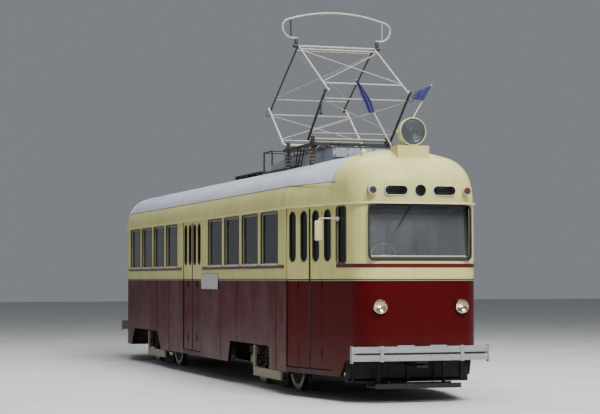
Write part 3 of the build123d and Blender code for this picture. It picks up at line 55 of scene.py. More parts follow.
# Places on the car, in metres. x is forward and y to the left. Heights were taken from the rail, which lies RAIL
# above the flange tips that the frame stands on
RAIL = 0.028
HALF = 7.5
SIDE = 1.275
STRAIGHT = 5.49
TAPER = math.radians(12.43)
FLOOR = 0.912
BELT = 1.632 + RAIL
SILL = 1.858 + RAIL
WINDOW_TOP = 2.640 + RAIL
WINDOW_WIDTH = 0.869
WINDOW_MIDDLES = [4.655 - i * 1.05 for i in range(4)] + [-1.605 - i * 1.05 for i in range(4)]
MIDDLE_DOOR = -0.08
DOOR_WIDTH = 1.3
DOORWAYS = {"front": ((STRAIGHT, -SIDE), TAPER), "middle": ((MIDDLE_DOOR - DOOR_WIDTH / 2, -SIDE), 0.0),
            "rear": ((-STRAIGHT - DOOR_WIDTH * math.cos(TAPER), -SIDE + DOOR_WIDTH * math.sin(TAPER)), -TAPER)}
SEAM = 2.980 + RAIL
CROWN = 3.450 + RAIL
PANTO_X = 4.05
PANTO_BASE = 3.655 + RAIL
PANTO_ARM = 0.665
BOGIES = (("front", 3.75), ("rear", -3.75))
LAMP_SIDE = 0.591

# Lines that part the two colours of the body
PALE_LINE, BLACK_LINE = "#9A917A", "#14100F"



def linear(text):
    """Linear colour of an sRGB hex value."""
    parts = [int(text[i:i + 2], 16) / 255 for i in (1, 3, 5)]
    return [p / 12.92 if p <= 0.04045 else ((p + 0.055) / 1.055) ** 2.4 for p in parts] + [1.0]


def feed(tree, socket, value):
    """Links another node's output to an input, or sets the input's value."""
    if isinstance(value, bpy.types.NodeSocket):
        tree.links.new(value, socket)
    else:
        socket.default_value = value


def add(tree, kind, links=None, **settings):
    """Adds a node with its settings; links maps an input's name or number to a value or to another node's output."""
    made = tree.nodes.new(kind)
    for key, value in settings.items():
        setattr(made, key, value)
    for key, value in (links or {}).items():
        feed(tree, made.inputs[key], value)
    return made


class CarSizes(bpy.types.PropertyGroup):
    """Sizes a user would change."""
    gasket: FloatProperty(name="Window rubber", description="Radius of the rubber round a window", default=0.009,
                          min=0.003, max=0.02, unit="LENGTH")
    rivet: FloatProperty(name="Rivet size", description="Radius of a rivet's head", default=0.008, min=0.003,
                         max=0.02, unit="LENGTH")
    rivet_step: FloatProperty(name="Rivet spacing", description="Distance between rivets", default=0.07, min=0.02,
                              max=0.3, unit="LENGTH")


class CarColours(bpy.types.PropertyGroup):
    """Colours a user would change."""
    upper: FloatVectorProperty(name="Upper panels", description="Enamel above the belt", subtype="COLOR", size=4,
                               min=0, max=1, default=linear("#CDC884"))
    lower: FloatVectorProperty(name="Lower panels", description="Enamel below the belt", subtype="COLOR", size=4,
                               min=0, max=1, default=linear("#4A0206"))
    canvas: FloatVectorProperty(name="Roof", description="Paint of the roof canvas", subtype="COLOR", size=4,
                                min=0, max=1, default=linear("#A9ADBB"))


class Paint:
    """A finish while it is being mixed. All its patterns lie on the object's own coordinates."""

    def __init__(self, name):
        self.made = bpy.data.materials.new(name)
        self.made.use_nodes = True
        self.tree = self.made.node_tree
        self.tree.nodes.clear()
        self.shader = add(self.tree, "ShaderNodeBsdfPrincipled")
        add(self.tree, "ShaderNodeOutputMaterial", {"Surface": self.shader.outputs[0]})
        self.place = add(self.tree, "ShaderNodeTexCoord").outputs["Object"]
        self.x, self.y, self.z = add(self.tree, "ShaderNodeSeparateXYZ", {0: self.place}).outputs

    def maths(self, operation, *values):
        """Result of a calculation."""
        return add(self.tree, "ShaderNodeMath", dict(enumerate(values)), operation=operation).outputs[0]

    def product(self, first, *others):
        """All values multiplied."""
        for other in others:
            first = self.maths("MULTIPLY", first, other)
        return first

    def ranged(self, value, low, high, to_low=0.0, to_high=1.0):
        """Value moved from one range to another and held inside it."""
        return add(self.tree, "ShaderNodeMapRange", {0: value, 1: low, 2: high, 3: to_low, 4: to_high}).outputs[0]

    def over(self, value, limit, soft=0.001):
        """1 where a value is over a limit, 0 where it is under."""
        return self.ranged(value, limit - soft, limit + soft)

    def under(self, value, limit, soft=0.001):
        """1 where a value is under a limit, 0 where it is over."""
        return self.ranged(value, limit - soft, limit + soft, 1, 0)

    def outer(self, axis):
        """Distance from the middle of the car along an axis, whichever side."""
        return self.maths("ABSOLUTE", (self.x, self.y, self.z)[axis])

    def noise(self, scale, detail, stretch=(1, 1, 1)):
        """Soft pattern; stretch squeezes it along an axis."""
        moved = add(self.tree, "ShaderNodeMapping", {"Vector": self.place, "Scale": stretch}).outputs[0]
        return add(self.tree, "ShaderNodeTexNoise", {"Vector": moved, "Scale": scale, "Detail": detail}).outputs["Fac"]

    def cloud(self, scale, detail, low, high, to_low=0.0, to_high=1.0, stretch=(1, 1, 1)):
        """Soft pattern, moved from one range to another."""
        return self.ranged(self.noise(scale, detail, stretch), low, high, to_low, to_high)

    def waves(self, scale, direction, distortion=0.0):
        """Even bands along an axis."""
        return add(self.tree, "ShaderNodeTexWave", {"Vector": self.place, "Scale": scale, "Distortion": distortion},
                   wave_type="BANDS", bands_direction=direction, wave_profile="SIN").outputs["Fac"]

    def mix(self, factor, first, second, blend="MIX"):
        """Colour between two colours."""
        return add(self.tree, "ShaderNodeMix", {0: factor, 6: first, 7: second}, data_type="RGBA",
                   blend_type=blend).outputs[2]

    def tint(self, colour, red, green, blue):
        """Colour made darker by a share for each of its parts."""
        return self.mix(1.0, colour, (red, green, blue, 1.0), "MULTIPLY")

    def stacked(self, colour, *steps):
        """Colours one above another; each step is the height where a colour starts, and that colour."""
        for height, upper in steps:
            colour = self.mix(self.over(self.z, height, 0.0015), colour, upper)
        return colour

    def shade(self, inputs, relief=None):
        """Feeds the shader, with a relief of height, strength and distance, and hands over the material."""
        if relief:
            bump = add(self.tree, "ShaderNodeBump", dict(zip(("Height", "Strength", "Distance"), relief)))
            inputs["Normal"] = bump.outputs[0]
        for name, value in inputs.items():
            feed(self.tree, self.shader.inputs[name], value)
        return self.made


def inside_wall(paint):
    """How far a place lies beyond the straight part of the car, and 1 where it lies inside the skin of its side."""
    past = paint.maths("SUBTRACT", paint.outer(0), STRAIGHT)
    narrower = paint.ranged(past, 0.0, 2.0, 0.0, 2.0 * math.tan(TAPER))
    return past, paint.under(paint.maths("ADD", paint.outer(1), narrower), SIDE - 0.006)


def black_inner_panels(paint, colour):
    """Black on the inside of the lower panels, as far as the rounded corners of the nose."""
    past, inside = inside_wall(paint)
    return paint.mix(paint.product(inside, paint.under(past, 1.5475, 0.0025)), colour, linear("#12100F"))


def painted_shade_on_door_jambs(paint, colour):
    """Painted shade on the cream jambs of the doorways, up to their heads: those of the middle one, on the car's right
    side, and the near jambs of the two end ones."""
    past, inside = inside_wall(paint)
    from_middle = paint.maths("ABSOLUTE", paint.maths("SUBTRACT", paint.x, MIDDLE_DOOR))
    middle = paint.product(paint.under(from_middle, DOOR_WIDTH / 2 + 0.003), paint.under(paint.y, 0.005, 0.005))
    ends = paint.product(paint.over(past, -0.003), paint.under(past, 0.015, 0.005))
    doors = paint.product(paint.maths("MAXIMUM", middle, ends), paint.under(paint.z, 2.675 + RAIL), inside)
    # dark brown painted shade on the jambs
    return paint.mix(doors, colour, linear("#2E2920"))


def screen_lining(paint, colour):
    """Black rubber on the edges of the holes for the screens."""
    hole = paint.product(paint.over(paint.z, 1.90 + RAIL, 0.0015), paint.under(paint.outer(1), 0.740, 0.0005),
                         paint.under(paint.z, 2.6695 + RAIL, 0.0005), paint.under(paint.outer(0), HALF - 0.066))
    return paint.mix(hole, colour, linear("#191919"))


def black_apron(paint, colour):
    """Black paint on the end panels under the bumper."""
    low = paint.product(paint.over(paint.outer(0), 7.0625, 0.0025), paint.under(paint.z, 0.576, 0.002))
    return paint.mix(low, colour, linear("#0E0D0D"))


def coach_enamel(name, lower, upper=None, dust=0.35, worn=0.0, places=()):
    """Alkyd coach enamel, brushed on steel panels and varnished: a glossy coat over paint that is a little uneven,
    panels that wave slightly, and streaks that rain washed down. upper is the colour above the belt where it
    differs, dust how thick road dust lies towards the lower edge, and worn how strong the painted reflection is: dull
    grey patches and light upright streaks that stand for the sky's sheen on the panels. Each of places is a function
    that gives some part of the panels another colour, painted shade included."""
    paint = Paint(name)
    colour = lower
    if upper:
        colour = paint.stacked(lower, (BELT - 0.013, linear(PALE_LINE)), (BELT, linear(BLACK_LINE)),
                               (BELT + 0.014, upper))
    colour = paint.mix(paint.cloud(1.4, 3, 0.35, 0.7), colour, paint.tint(colour, 0.86, 0.88, 0.86))
    streaks = paint.cloud(9.0, 3, 0.52, 0.72, 0, 0.3, (1, 1, 0.12))
    colour = paint.mix(streaks, colour, paint.tint(colour, 0.60, 0.57, 0.50))
    low = paint.ranged(paint.z, 0.30, 0.95, dust, 0.0)
    colour = paint.mix(paint.product(low, paint.cloud(5.0, 6, 0.3, 0.7, 0.4, 1.0)), colour, linear("#5E4F45"))
    if worn:
        # painted reflection: dull grey patches and light upright streaks stand for the sky's sheen on the glossy
        # panels
        colour = paint.mix(paint.cloud(1.1, 7, 0.47, 0.66, 0, worn, (1, 1, 0.8)), colour, linear("#5E4448"))
        painted_reflection_streaks = paint.cloud(14.0, 2, 0.66, 0.74, 0, worn * 0.6, (1, 1, 0.09))
        colour = paint.mix(painted_reflection_streaks, colour, linear("#8A7678"))
    for repaint in places:
        colour = repaint(paint, colour)
    return paint.shade({"Base Color": colour, "Roughness": paint.cloud(3.0, 5, 0.3, 0.7, 0.30, 0.44),
                        "Specular IOR Level": 0.10, "Coat Weight": 0.06, "Coat Roughness": 0.12},
                       (paint.noise(2.2, 2, (1, 1, 0.45)), 0.25, 0.02))


def roof_canvas(name, colour):
    """Painted roof canvas: a weave drawn at 4 mm, coarser than real so that it shows, filled with matt paint that is
    patchy and streaked with soot, and shallow laps across the roof."""
    paint = Paint(name)
    base = paint.mix(paint.cloud(2.2, 6, 0.35, 0.7), colour, paint.tint(colour, 0.80, 0.80, 0.80))
    soot = paint.cloud(7.0, 4, 0.55, 0.75, 0, 0.35, (1, 0.25, 0.25))
    base = paint.mix(soot, base, paint.tint(colour, 0.62, 0.60, 0.58))
    laps = paint.ranged(paint.waves(0.31, "X"), 0.992, 1.0)
    return paint.shade({"Base Color": base, "Roughness": 0.55},
                       (paint.maths("ADD", laps, paint.noise(240.0, 2)), 0.35, 0.003))


def painted_steel(name, colour, worn, amount, rough, metal=0.0, second=None, edge=0.0, axis=1):
    """Steel under old air-dried paint: scuffs where it is rubbed, a little rust coming through, and road grime.
    worn is the colour of the scuffs and amount their strength. second is the colour of what lies further than edge
    from the car's middle along an axis."""
    paint = Paint(name)
    base = linear(colour)
    if second:
        base = paint.mix(paint.over(paint.outer(axis), edge), base, linear(second))
    base = paint.mix(paint.cloud(14.0, 8, 0.55, 0.72, 0, amount), base, linear(worn))
    base = paint.mix(paint.cloud(3.0, 4, 0.3, 0.7, 0, 0.35), base, paint.tint(base, 0.6, 0.6, 0.6))
    return paint.shade({"Base Color": base, "Metallic": metal,
                        "Roughness": paint.cloud(20.0, 4, 0.3, 0.7, rough - 0.1, rough + 0.15)},
                       (paint.noise(90.0, 4), 0.15, 0.002))


def bright_metal(name, colour, rough):
    """Plated or bare metal: true metallic, with fine rubbing marks and a little tarnish in the hollows."""
    paint = Paint(name)
    clean = linear(colour)
    base = paint.mix(paint.cloud(11.0, 6, 0.5, 0.75, 0, 0.7), clean, paint.tint(clean, 0.62, 0.58, 0.54))
    return paint.shade({"Base Color": base, "Metallic": 1.0,
                        "Roughness": paint.cloud(60.0, 4, 0.3, 0.7, rough - 0.06, rough + 0.12)})


def pane_glass(name, colour, clear, rough=0.0, corner=None):
    """Drawn sheet glass: tinted, wavy enough to bend reflections, with a film of street dust that takes the light;
    clear is the share of the light that the dust lets through, and corner the tint of the panes behind the corners."""
    paint = Paint(name)
    tint = linear(colour)
    cloud = paint.cloud(1.3, 4, 0.35, 0.65, stretch=(1, 1, 0.5))
    base = paint.mix(cloud, paint.tint(tint, 0.72, 0.74, 0.76), tint)
    if corner:
        behind = paint.ranged(paint.outer(1), 0.78, 0.80)
        base = paint.mix(behind, base, linear(corner))
        clear = paint.ranged(behind, 0, 1, clear, 0.9)
    film = paint.maths("ADD", paint.cloud(6.0, 6, 0.4, 0.8, 0, 0.05), rough)
    return paint.shade({"Base Color": base, "Roughness": film, "Transmission Weight": clear, "IOR": 1.5},
                       (paint.noise(1.7, 2), 0.08, 0.01))


def lit_glass(name, colour, glow):
    """Pressed lamp glass with upright ribs in front of a bright bowl; it may glow from a bulb behind it."""
    paint = Paint(name)
    clean = linear(colour)
    ribs = paint.waves(34.0, "Y")
    base = paint.mix(paint.ranged(ribs, 0.2, 0.9), paint.tint(clean, 0.55, 0.55, 0.55), clean)
    light = {"Emission Color": base, "Emission Strength": glow} if glow else {}
    return paint.shade({"Base Color": base, "Roughness": 0.16, "Coat Weight": 0.7, **light}, (ribs, 0.5, 0.003))


def moulding_paint(name, cream, maroon):
    """Enamel on the body's mouldings: cream rain rail, maroon band, and a black line over a pale line at the belt."""
    paint = Paint(name)
    colour = paint.mix(paint.over(paint.z, BELT - 0.001), linear(PALE_LINE), linear(BLACK_LINE))
    colour = paint.stacked(colour, (BELT + 0.05, maroon), (WINDOW_TOP, paint.mix(0.5, cream, linear("#F2EBCB"))))
    colour = paint.mix(paint.cloud(4.0, 5, 0.45, 0.75, 0, 0.6), colour, paint.tint(colour, 0.7, 0.68, 0.62))
    return paint.shade({"Base Color": colour, "Roughness": 0.35, "Coat Weight": 0.4})


def old_rubber(name):
    """Black window rubber: dull, slightly chalky with age."""
    paint = Paint(name)
    base = paint.mix(paint.cloud(30.0, 5, 0.45, 0.75, 0, 0.25), linear("#0B0B0C"), linear("#3B3A38"))
    return paint.shade({"Base Color": base, "Roughness": 0.6}, (paint.noise(220.0, 3), 0.1, 0.001))


def flag_cotton(name, colour):
    """Thin plain-woven flag cotton: threads drawn at 3 mm, coarser than real, dull with a soft sheen along its
    folds."""
    paint = Paint(name)
    clean = linear(colour)
    weave = paint.product(paint.waves(52.0, "Y", 0.6), paint.waves(52.0, "Z", 0.6))
    faded = paint.mix(paint.cloud(6.0, 4, 0.4, 0.7, 0, 0.5), clean, linear("#3A3F86"))
    base = paint.mix(paint.ranged(weave, 0, 0.5), paint.tint(clean, 0.45, 0.45, 0.5), faded)
    return paint.shade({"Base Color": base, "Roughness": 0.85, "Sheen Weight": 0.3}, (weave, 0.3, 0.001))


def leathercloth(name, colour, worn):
    """Embossed leathercloth over horsehair: a pebbled grain of 3 mm, shiny where people sit, darker in the creases."""
    paint = Paint(name)
    grain = add(paint.tree, "ShaderNodeTexVoronoi", {"Vector": paint.place, "Scale": 330.0},
                feature="F1").outputs["Distance"]
    tone = paint.cloud(9.0, 5, 0.35, 0.7)
    base = paint.mix(tone, linear(colour), linear(worn))
    base = paint.mix(paint.ranged(grain, 0.3, 0.7, 0, 0.4), base, linear(worn))
    return paint.shade({"Base Color": base, "Roughness": paint.ranged(tone, 0, 1, 0.35, 0.55)}, (grain, 0.4, 0.001))


# Painted steel, and other dull things that wear like it: name, colour, colour where worn, how worn, roughness, and
# where they apply: metallic share, second colour, its distance from the car's middle, and the axis of that distance.
# On the mast the outer arms are black and the bars between them grey. On the roof the railing is dark and the case
# blue grey
STEELS = {
    "silver": ("aluminium_paint_on_steel", "#9FA3A6", "#625A50", 0.35, 0.42, 0.25),
    "black_iron": ("black_painted_iron", "#141313", "#33271F", 0.5, 0.65),
    "step_paint": ("maroon_brown_step_paint", "#340C0A", "#40322B", 0.5, 0.5),
    "brake_dust": ("cast_steel_with_brake_dust", "#2A221D", "#4A3325", 0.6, 0.75),
    # darker cream: the guards' cream in painted shade
    "guard_cream": ("cream_plate_paint_in_painted_shade", "#958F73", "#554838", 0.5, 0.5),
    "mast_grey": ("grey_painted_tube", "#A8A69B", "#6C665C", 0.15, 0.45, 0.1),
    "mast_dark": ("dark_painted_base", "#2C2A27", "#59524A", 0.6, 0.5),
    "mast_lower": ("black_arms_and_grey_bars", "#98968C", "#5C5750", 0.15, 0.45, 0.1, "#161514", 0.645),
    "mast_rear": ("black_upper_arms_and_grey_bars", "#98968C", "#5C5750", 0.15, 0.45, 0.1, "#1B1A18", 0.605),
    "spring_steel": ("dull_spring_steel", "#77746D", "#3F3B36", 0.5, 0.4, 0.5),
    # dark brownish cream: painted shade, the look of the window reveals in shade, given to the beads round the side
    # windows
    "reveal_shade": ("painted_shade_in_the_window_reveals", "#4A4330", "#2E2A22", 0.5, 0.6),
    "lining": ("varnished_lining_board", "#8A6B45", "#5E4327", 0.3, 0.35),
    "lino": ("brown_linoleum", "#4A3322", "#2C2019", 0.4, 0.5),
    "porcelain": ("dusty_glazed_porcelain", "#6A6259", "#38322C", 0.5, 0.25),
    "case_grey": ("blue_grey_case_paint", "#211F1C", "#5A554C", 0.3, 0.5, 0.0, "#8E95A0", 1.6, 0),
    "plank": ("tarred_plank", "#2B2622", "#5C544A", 0.5, 0.7),
    # black enamel of the signs, also used as painted shade in the bumper's gap
    "sign_black": ("black_stove_enamel_and_painted_shade", "#111111", "#222222", 0.2, 0.3),
    # darker cream: the sashes' cream in painted shade
    "sash": ("cream_sash_in_painted_shade", "#8F8A6C", "#6A6450", 0.3, 0.4),
    "pale_trim": ("pale_painted_trim", "#C4C1B2", "#8E8672", 0.3, 0.4),
    "batten": ("weathered_oak_batten", "#77766F", "#4A463F", 0.5, 0.6),
    "wheel_paint": ("dusty_wheel_paint", "#241F1C", "#52453A", 0.6, 0.75),
    "box_cover": ("pale_axle_box_cover", "#8F8A78", "#4D4238", 0.4, 0.55),
    "board": ("white_painted_board", "#B4B6B4", "#8E897F", 0.4, 0.5),
    "plywood": ("varnished_plywood_and_steel", "#7A5433", "#4C321E", 0.3, 0.35),
    "cab_green": ("grey_green_cab_paint", "#6C7562", "#3B3F35", 0.3, 0.45),
    "ceiling": ("cream_ceiling_paint", "#D9D3B8", "#A49C80", 0.25, 0.5),
    "bone": ("bone_coloured_bakelite", "#D8CFB4", "#8D8468", 0.2, 0.25),
}
# Bright metals: name, colour, roughness
METALS = {
    "tyre": ("rolled_steel_tyre", "#6E6A66", 0.35),
    "chrome": ("nickel_plate", "#C9C6BE", 0.12),
    "silvering": ("silvered_mirror_glass", "#DADDE0", 0.06),
    "tread": ("worn_aluminium_tread", "#A8A6A0", 0.3),
    "reflector": ("silvered_reflector", "#E9E2CE", 0.16),
}
# Panes: name, tint, share of the light let through, and where they apply: roughness, tint of the corner panes
PANES = {
    "glass": ("drawn_window_glass", "#62645F", 0.95),
    "screen_glass": ("windscreen_plate_glass", "#CACDD3", 0.885, 0.0, "#34393B"),
    "door_glass": ("door_window_glass", "#34393B", 0.9),
    "lamp_lens": ("lamp_glass", "#F2ECDD", 1.0, 0.03),
    "roof_lens": ("dusty_lamp_glass", "#A9B0B6", 0.88, 0.04),
}
# Pressed glasses: name, colour, glow
LENSES = {
    "tail_lens": ("red_lamp_glass", "#6E0C0A", 0.0),
    "grey_marker": ("grey_marker_glass", "#565A62", 0.0),
    "red_marker": ("red_marker_glass", "#7A4440", 0.0),
    "opal": ("opal_lamp_glass", "#EFE9D8", 0.0),
    "bulb": ("frosted_bulb", "#FFE9C4", 9.0),
}
# Finish of the parts of the solid model whose names hold one of these words
COATS = {
    "two_tone": ["_leaf_"],
    "maroon": ["side_panel"],
    "nose": ["front_panel", "rear_panel"],
    "cream": ["window_band_right", "window_band_left", "letterboard", "front_dome", "roof_headlamp"],
    "cream_screen": ["cab_window_band", "rear_window_band", "screen_frames"],
    "mouldings": ["body_mouldings"],
    "canvas": ["roof_canvas"],
    "silver": ["bumpers"],
    "pale_trim": ["flag_poles"],
    "board": ["route_board"],
    "case_grey": ["roof_equipment"],
    "black_iron": ["underframe", "drawbars", "lifeguard"],
    "step_paint": ["door_steps"],
    "brake_dust": ["bogie_frame"],
    "guard_cream": ["shields"],
    "tyre": ["wheelset"],
    "mast_dark": ["pantograph_base"],
    "mast_lower": ["pantograph_lower_front"],
    "mast_rear": ["pantograph_upper_rear"],
    "mast_grey": ["pantograph_upper_front", "pantograph_lower_rear", "pantograph_bow"],
    "glass": ["side_glass"],
    "screen_glass": ["glass_ends"],
    "lining": ["cab_partition"],
    "lino": ["floor"],
    "chrome": ["handrails"],
    "sign_black": ["destination_signs"],
}
FINISHES = {}


class GiveFinishes(bpy.types.Operator):
    """Makes the finishes and gives each part of the solid model its own."""
    bl_idname = "tram.finishes"
    bl_label = "Finishes"

    def execute(self, context):
        colours = context.scene.tram_colours
        cream, maroon = list(colours.upper), list(colours.lower)
        FINISHES.update({
            # the cream, with painted shade on the door jambs
            "cream": coach_enamel("cream_coach_enamel", cream, dust=0.0, places=[painted_shade_on_door_jambs]),
            "cream_screen": coach_enamel("cream_coach_enamel_at_the_screens", cream, dust=0.0,
                                         places=[screen_lining]),
            # on the maroon sides, worn sets the painted reflection: grey patches and light upright streaks
            "maroon": coach_enamel("maroon_coach_enamel", maroon, worn=0.5, places=[black_inner_panels]),
            "nose": coach_enamel("maroon_nose_enamel", maroon, places=[black_inner_panels, black_apron]),
            "two_tone": coach_enamel("two_tone_coach_enamel", maroon, cream),
            "mouldings": moulding_paint("painted_mouldings", cream, maroon),
            "canvas": roof_canvas("painted_roof_canvas", list(colours.canvas)),
            "rubber": old_rubber("aged_window_rubber"),
            "seat": leathercloth("brown_leathercloth", "#5A3322", "#2E1A12"),
            "flag": flag_cotton("blue_flag_cotton", "#20246A"),
        })
        for finish, table in ((painted_steel, STEELS), (bright_metal, METALS), (pane_glass, PANES),
                              (lit_glass, LENSES)):
            for key, values in table.items():
                FINISHES[key] = finish(*values)
        for name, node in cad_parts.items():
            for key, words in COATS.items():
                if any(word in name for word in words):
                    node.data.materials.clear()
                    node.data.materials.append(FINISHES[key])
        return {"FINISHED"}


class Build:
    """The mesh of one piece while it is being made. New faces get the finish whose number is in paint."""

    def __init__(self):
        self.mesh = bmesh.new()
        self.paint = 0

    def box(self, low, high, turn=Matrix(), bevel=0.0):
        """Box between two corners, its edges rounded by bevel."""
        (x0, y0, z0), (x1, y1, z1) = low, high
        points = [(x, y, z) for x in (x0, x1) for y in (y0, y1) for z in (z0, z1)]
        made = bmesh.new()
        corners = [made.verts.new(p) for p in points]
        for f in ((0, 1, 3, 2), (4, 6, 7, 5), (0, 4, 5, 1), (2, 3, 7, 6), (0, 2, 6, 4), (1, 5, 7, 3)):
            made.faces.new([corners[i] for i in f])
        if bevel:
            bmesh.ops.bevel(made, geom=made.edges[:], offset=bevel, segments=2, profile=0.6, affect="EDGES")
        self.join(made, turn)

    def join(self, other, turn=Matrix()):
        """Takes in another mesh and frees it."""
        places = {v: self.mesh.verts.new(turn @ v.co) for v in other.verts}
        for f in other.faces:
            self.mesh.faces.new([places[v] for v in f.verts]).material_index = self.paint
        other.free()

    def tube(self, points, radius, sides, closed=False):
        """Round bar along points. radius is one size or one for each point."""
        points = [Vector(p) for p in points]
        sizes = radius if isinstance(radius, (list, tuple)) else [radius] * len(points)
        count = len(points)
        rings = []
        side = None
        for i, p in enumerate(points):
            before = points[i - 1] if i or closed else p
            after = points[(i + 1) % count] if i + 1 < count or closed else p
            along = (after - before).normalized()
            if side is None:
                side = along.cross(Vector((0, 0, 1)))
                if side.length < 0.1:
                    side = along.cross(Vector((0, 1, 0)))
            side = (side - along * side.dot(along)).normalized()
            up = along.cross(side)
            rings.append([self.mesh.verts.new(p + sizes[i] * (math.cos(a) * side + math.sin(a) * up))
                          for a in (2 * math.pi * k / sides for k in range(sides))])
        self.skin(rings, closed)

    def skin(self, rings, closed=False, capped=True, around=True):
        """Faces between rings of corners."""
        pairs = list(zip(rings, rings[1:])) + ([(rings[-1], rings[0])] if closed else [])
        for a, b in pairs:
            for i in range(len(a) if around else len(a) - 1):
                j = (i + 1) % len(a)
                self.mesh.faces.new((a[i], a[j], b[j], b[i])).material_index = self.paint
        if capped and not closed:
            self.mesh.faces.new(rings[0][::-1]).material_index = self.paint
            self.mesh.faces.new(rings[-1]).material_index = self.paint

    def turned(self, profile, turn, sides):
        """Turned shape about the local Z axis, from (radius, height) pairs; a radius of 0 closes it."""
        rings = []
        for radius, height in profile:
            size = max(radius, 1e-5)
            rings.append([self.mesh.verts.new(turn @ Vector((size * math.cos(a), size * math.sin(a), height)))
                          for a in (2 * math.pi * k / sides for k in range(sides))])
        self.skin(rings)

    def moulding(self, path, normal, section):
        """Section swept round a flat closed path. The section's first number is outwards from the path and the
        second along the normal."""
        path = [Vector(p) for p in path]
        normal = Vector(normal).normalized()
        count = len(path)
        rings = []
        for i, p in enumerate(path):
            before = (p - path[i - 1]).normalized()
            after = (path[(i + 1) % count] - p).normalized()
            along = (before + after).normalized()
            out = along.cross(normal)
            stretch = 1 / max(0.3, along.dot(after))
            rings.append([self.mesh.verts.new(p + out * a * stretch + normal * b) for a, b in section])
        self.skin(rings, closed=True)

    def plate(self, outline, depth, turn=Matrix(), bevel=0.0):
        """Flat plate from an outline, its front edge rounded."""
        flat = [Vector((x, y, 0)) for x, y in outline]
        count = len(flat)

        def inset(by, height):
            made = []
            for i, p in enumerate(flat):
                a = (p - flat[i - 1]).normalized()
                b = (flat[(i + 1) % count] - p).normalized()
                along = (a + b).normalized()
                inward = Vector((-along.y, along.x, 0)) / max(0.3, along.dot(b))
                made.append(self.mesh.verts.new(turn @ (p + inward * by + Vector((0, 0, height)))))
            return made

        rings = [inset(0, 0), inset(0, depth - bevel)]
        if bevel:
            rings += [inset(bevel * 0.3, depth - bevel * 0.3), inset(bevel, depth)]
        self.skin(rings)

    def piece(self, name, body, slot, *finishes, smooth=40):
        """Makes the object, gives it its finishes, and lets it ride on a body."""
        bmesh.ops.remove_doubles(self.mesh, verts=self.mesh.verts, dist=1e-5)
        bmesh.ops.recalc_face_normals(self.mesh, faces=self.mesh.faces)
        data = bpy.data.meshes.new(name)
        self.mesh.to_mesh(data)
        self.mesh.free()
        data.shade_smooth()
        data.set_sharp_from_angle(angle=math.radians(smooth))
        made = bpy.data.objects.new(name, data)
        bpy.context.scene.collection.objects.link(made)
        for f in finishes:
            data.materials.append(f)
        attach(made, body)
        return made


def rounded(width, height, radius, steps=5):
    """Outline of a rectangle with round corners, anticlockwise about its middle."""
    made = []
    for turn, (sx, sy) in enumerate(((1, -1), (1, 1), (-1, 1), (-1, -1))):
        for k in range(steps + 1):
            a = math.radians(-90 + 90 * turn + 90 * k / steps)
            made.append((sx * (width / 2 - radius) + radius * math.cos(a),
                         sy * (height / 2 - radius) + radius * math.sin(a)))
    return made


def wall_place(x, z, left=False):
    """Turn that puts a flat outline on the straight side: its x forward, its y up, its z out of the wall."""
    if left:
        return Matrix(((-1, 0, 0, x), (0, 0, 1, SIDE), (0, 1, 0, z), (0, 0, 0, 1)))
    return Matrix(((1, 0, 0, x), (0, 0, -1, -SIDE), (0, 1, 0, z), (0, 0, 0, 1)))


def door_place(name):
    """Turn from a doorway's own x along it, y into the car and z up, to the car."""
    (x, y), angle = DOORWAYS[name]
    return Matrix.Translation((x, y, 0)) @ Matrix.Rotation(angle, 4, "Z")


def new_rule(name, inputs):
    """Empty Geometry Nodes tree with named inputs. Returns the tree and its group input."""
    tree = bpy.data.node_groups.new(name, "GeometryNodeTree")
    tree.interface.new_socket("Geometry", in_out="INPUT", socket_type="NodeSocketGeometry")
    for label, kind, value in inputs:
        socket = tree.interface.new_socket(label, in_out="INPUT", socket_type=kind)
        if value is not None:
            socket.default_value = value
    tree.interface.new_socket("Material", in_out="INPUT", socket_type="NodeSocketMaterial")
    tree.interface.new_socket("Geometry", in_out="OUTPUT", socket_type="NodeSocketGeometry")
    return tree, add(tree, "NodeGroupInput")


def close_rule(tree, given, shape):
    """Ends a tree in real geometry with its finish."""
    real = add(tree, "GeometryNodeRealizeInstances", {"Geometry": shape})
    done = add(tree, "GeometryNodeSetMaterial", {"Geometry": real.outputs[0], "Material": given.outputs["Material"]})
    add(tree, "NodeGroupOutput", {0: done.outputs[0]})
    return tree


def bead_rule():
    """Round bead that follows edges: window rubber, piping, cables."""
    tree, given = new_rule("bead_along_edges", (("Radius", "NodeSocketFloat", 0.009), ("Sides", "NodeSocketInt", 8)))
    path = add(tree, "GeometryNodeMeshToCurve", {"Mesh": given.outputs["Geometry"]})
    ring = add(tree, "GeometryNodeCurvePrimitiveCircle",
               {"Resolution": given.outputs["Sides"], "Radius": given.outputs["Radius"]})
    skin = add(tree, "GeometryNodeCurveToMesh",
               {"Curve": path.outputs[0], "Profile Curve": ring.outputs[0], "Fill Caps": True})
    smooth = add(tree, "GeometryNodeSetShadeSmooth", {"Geometry": skin.outputs[0]})
    return close_rule(tree, given, smooth.outputs[0])


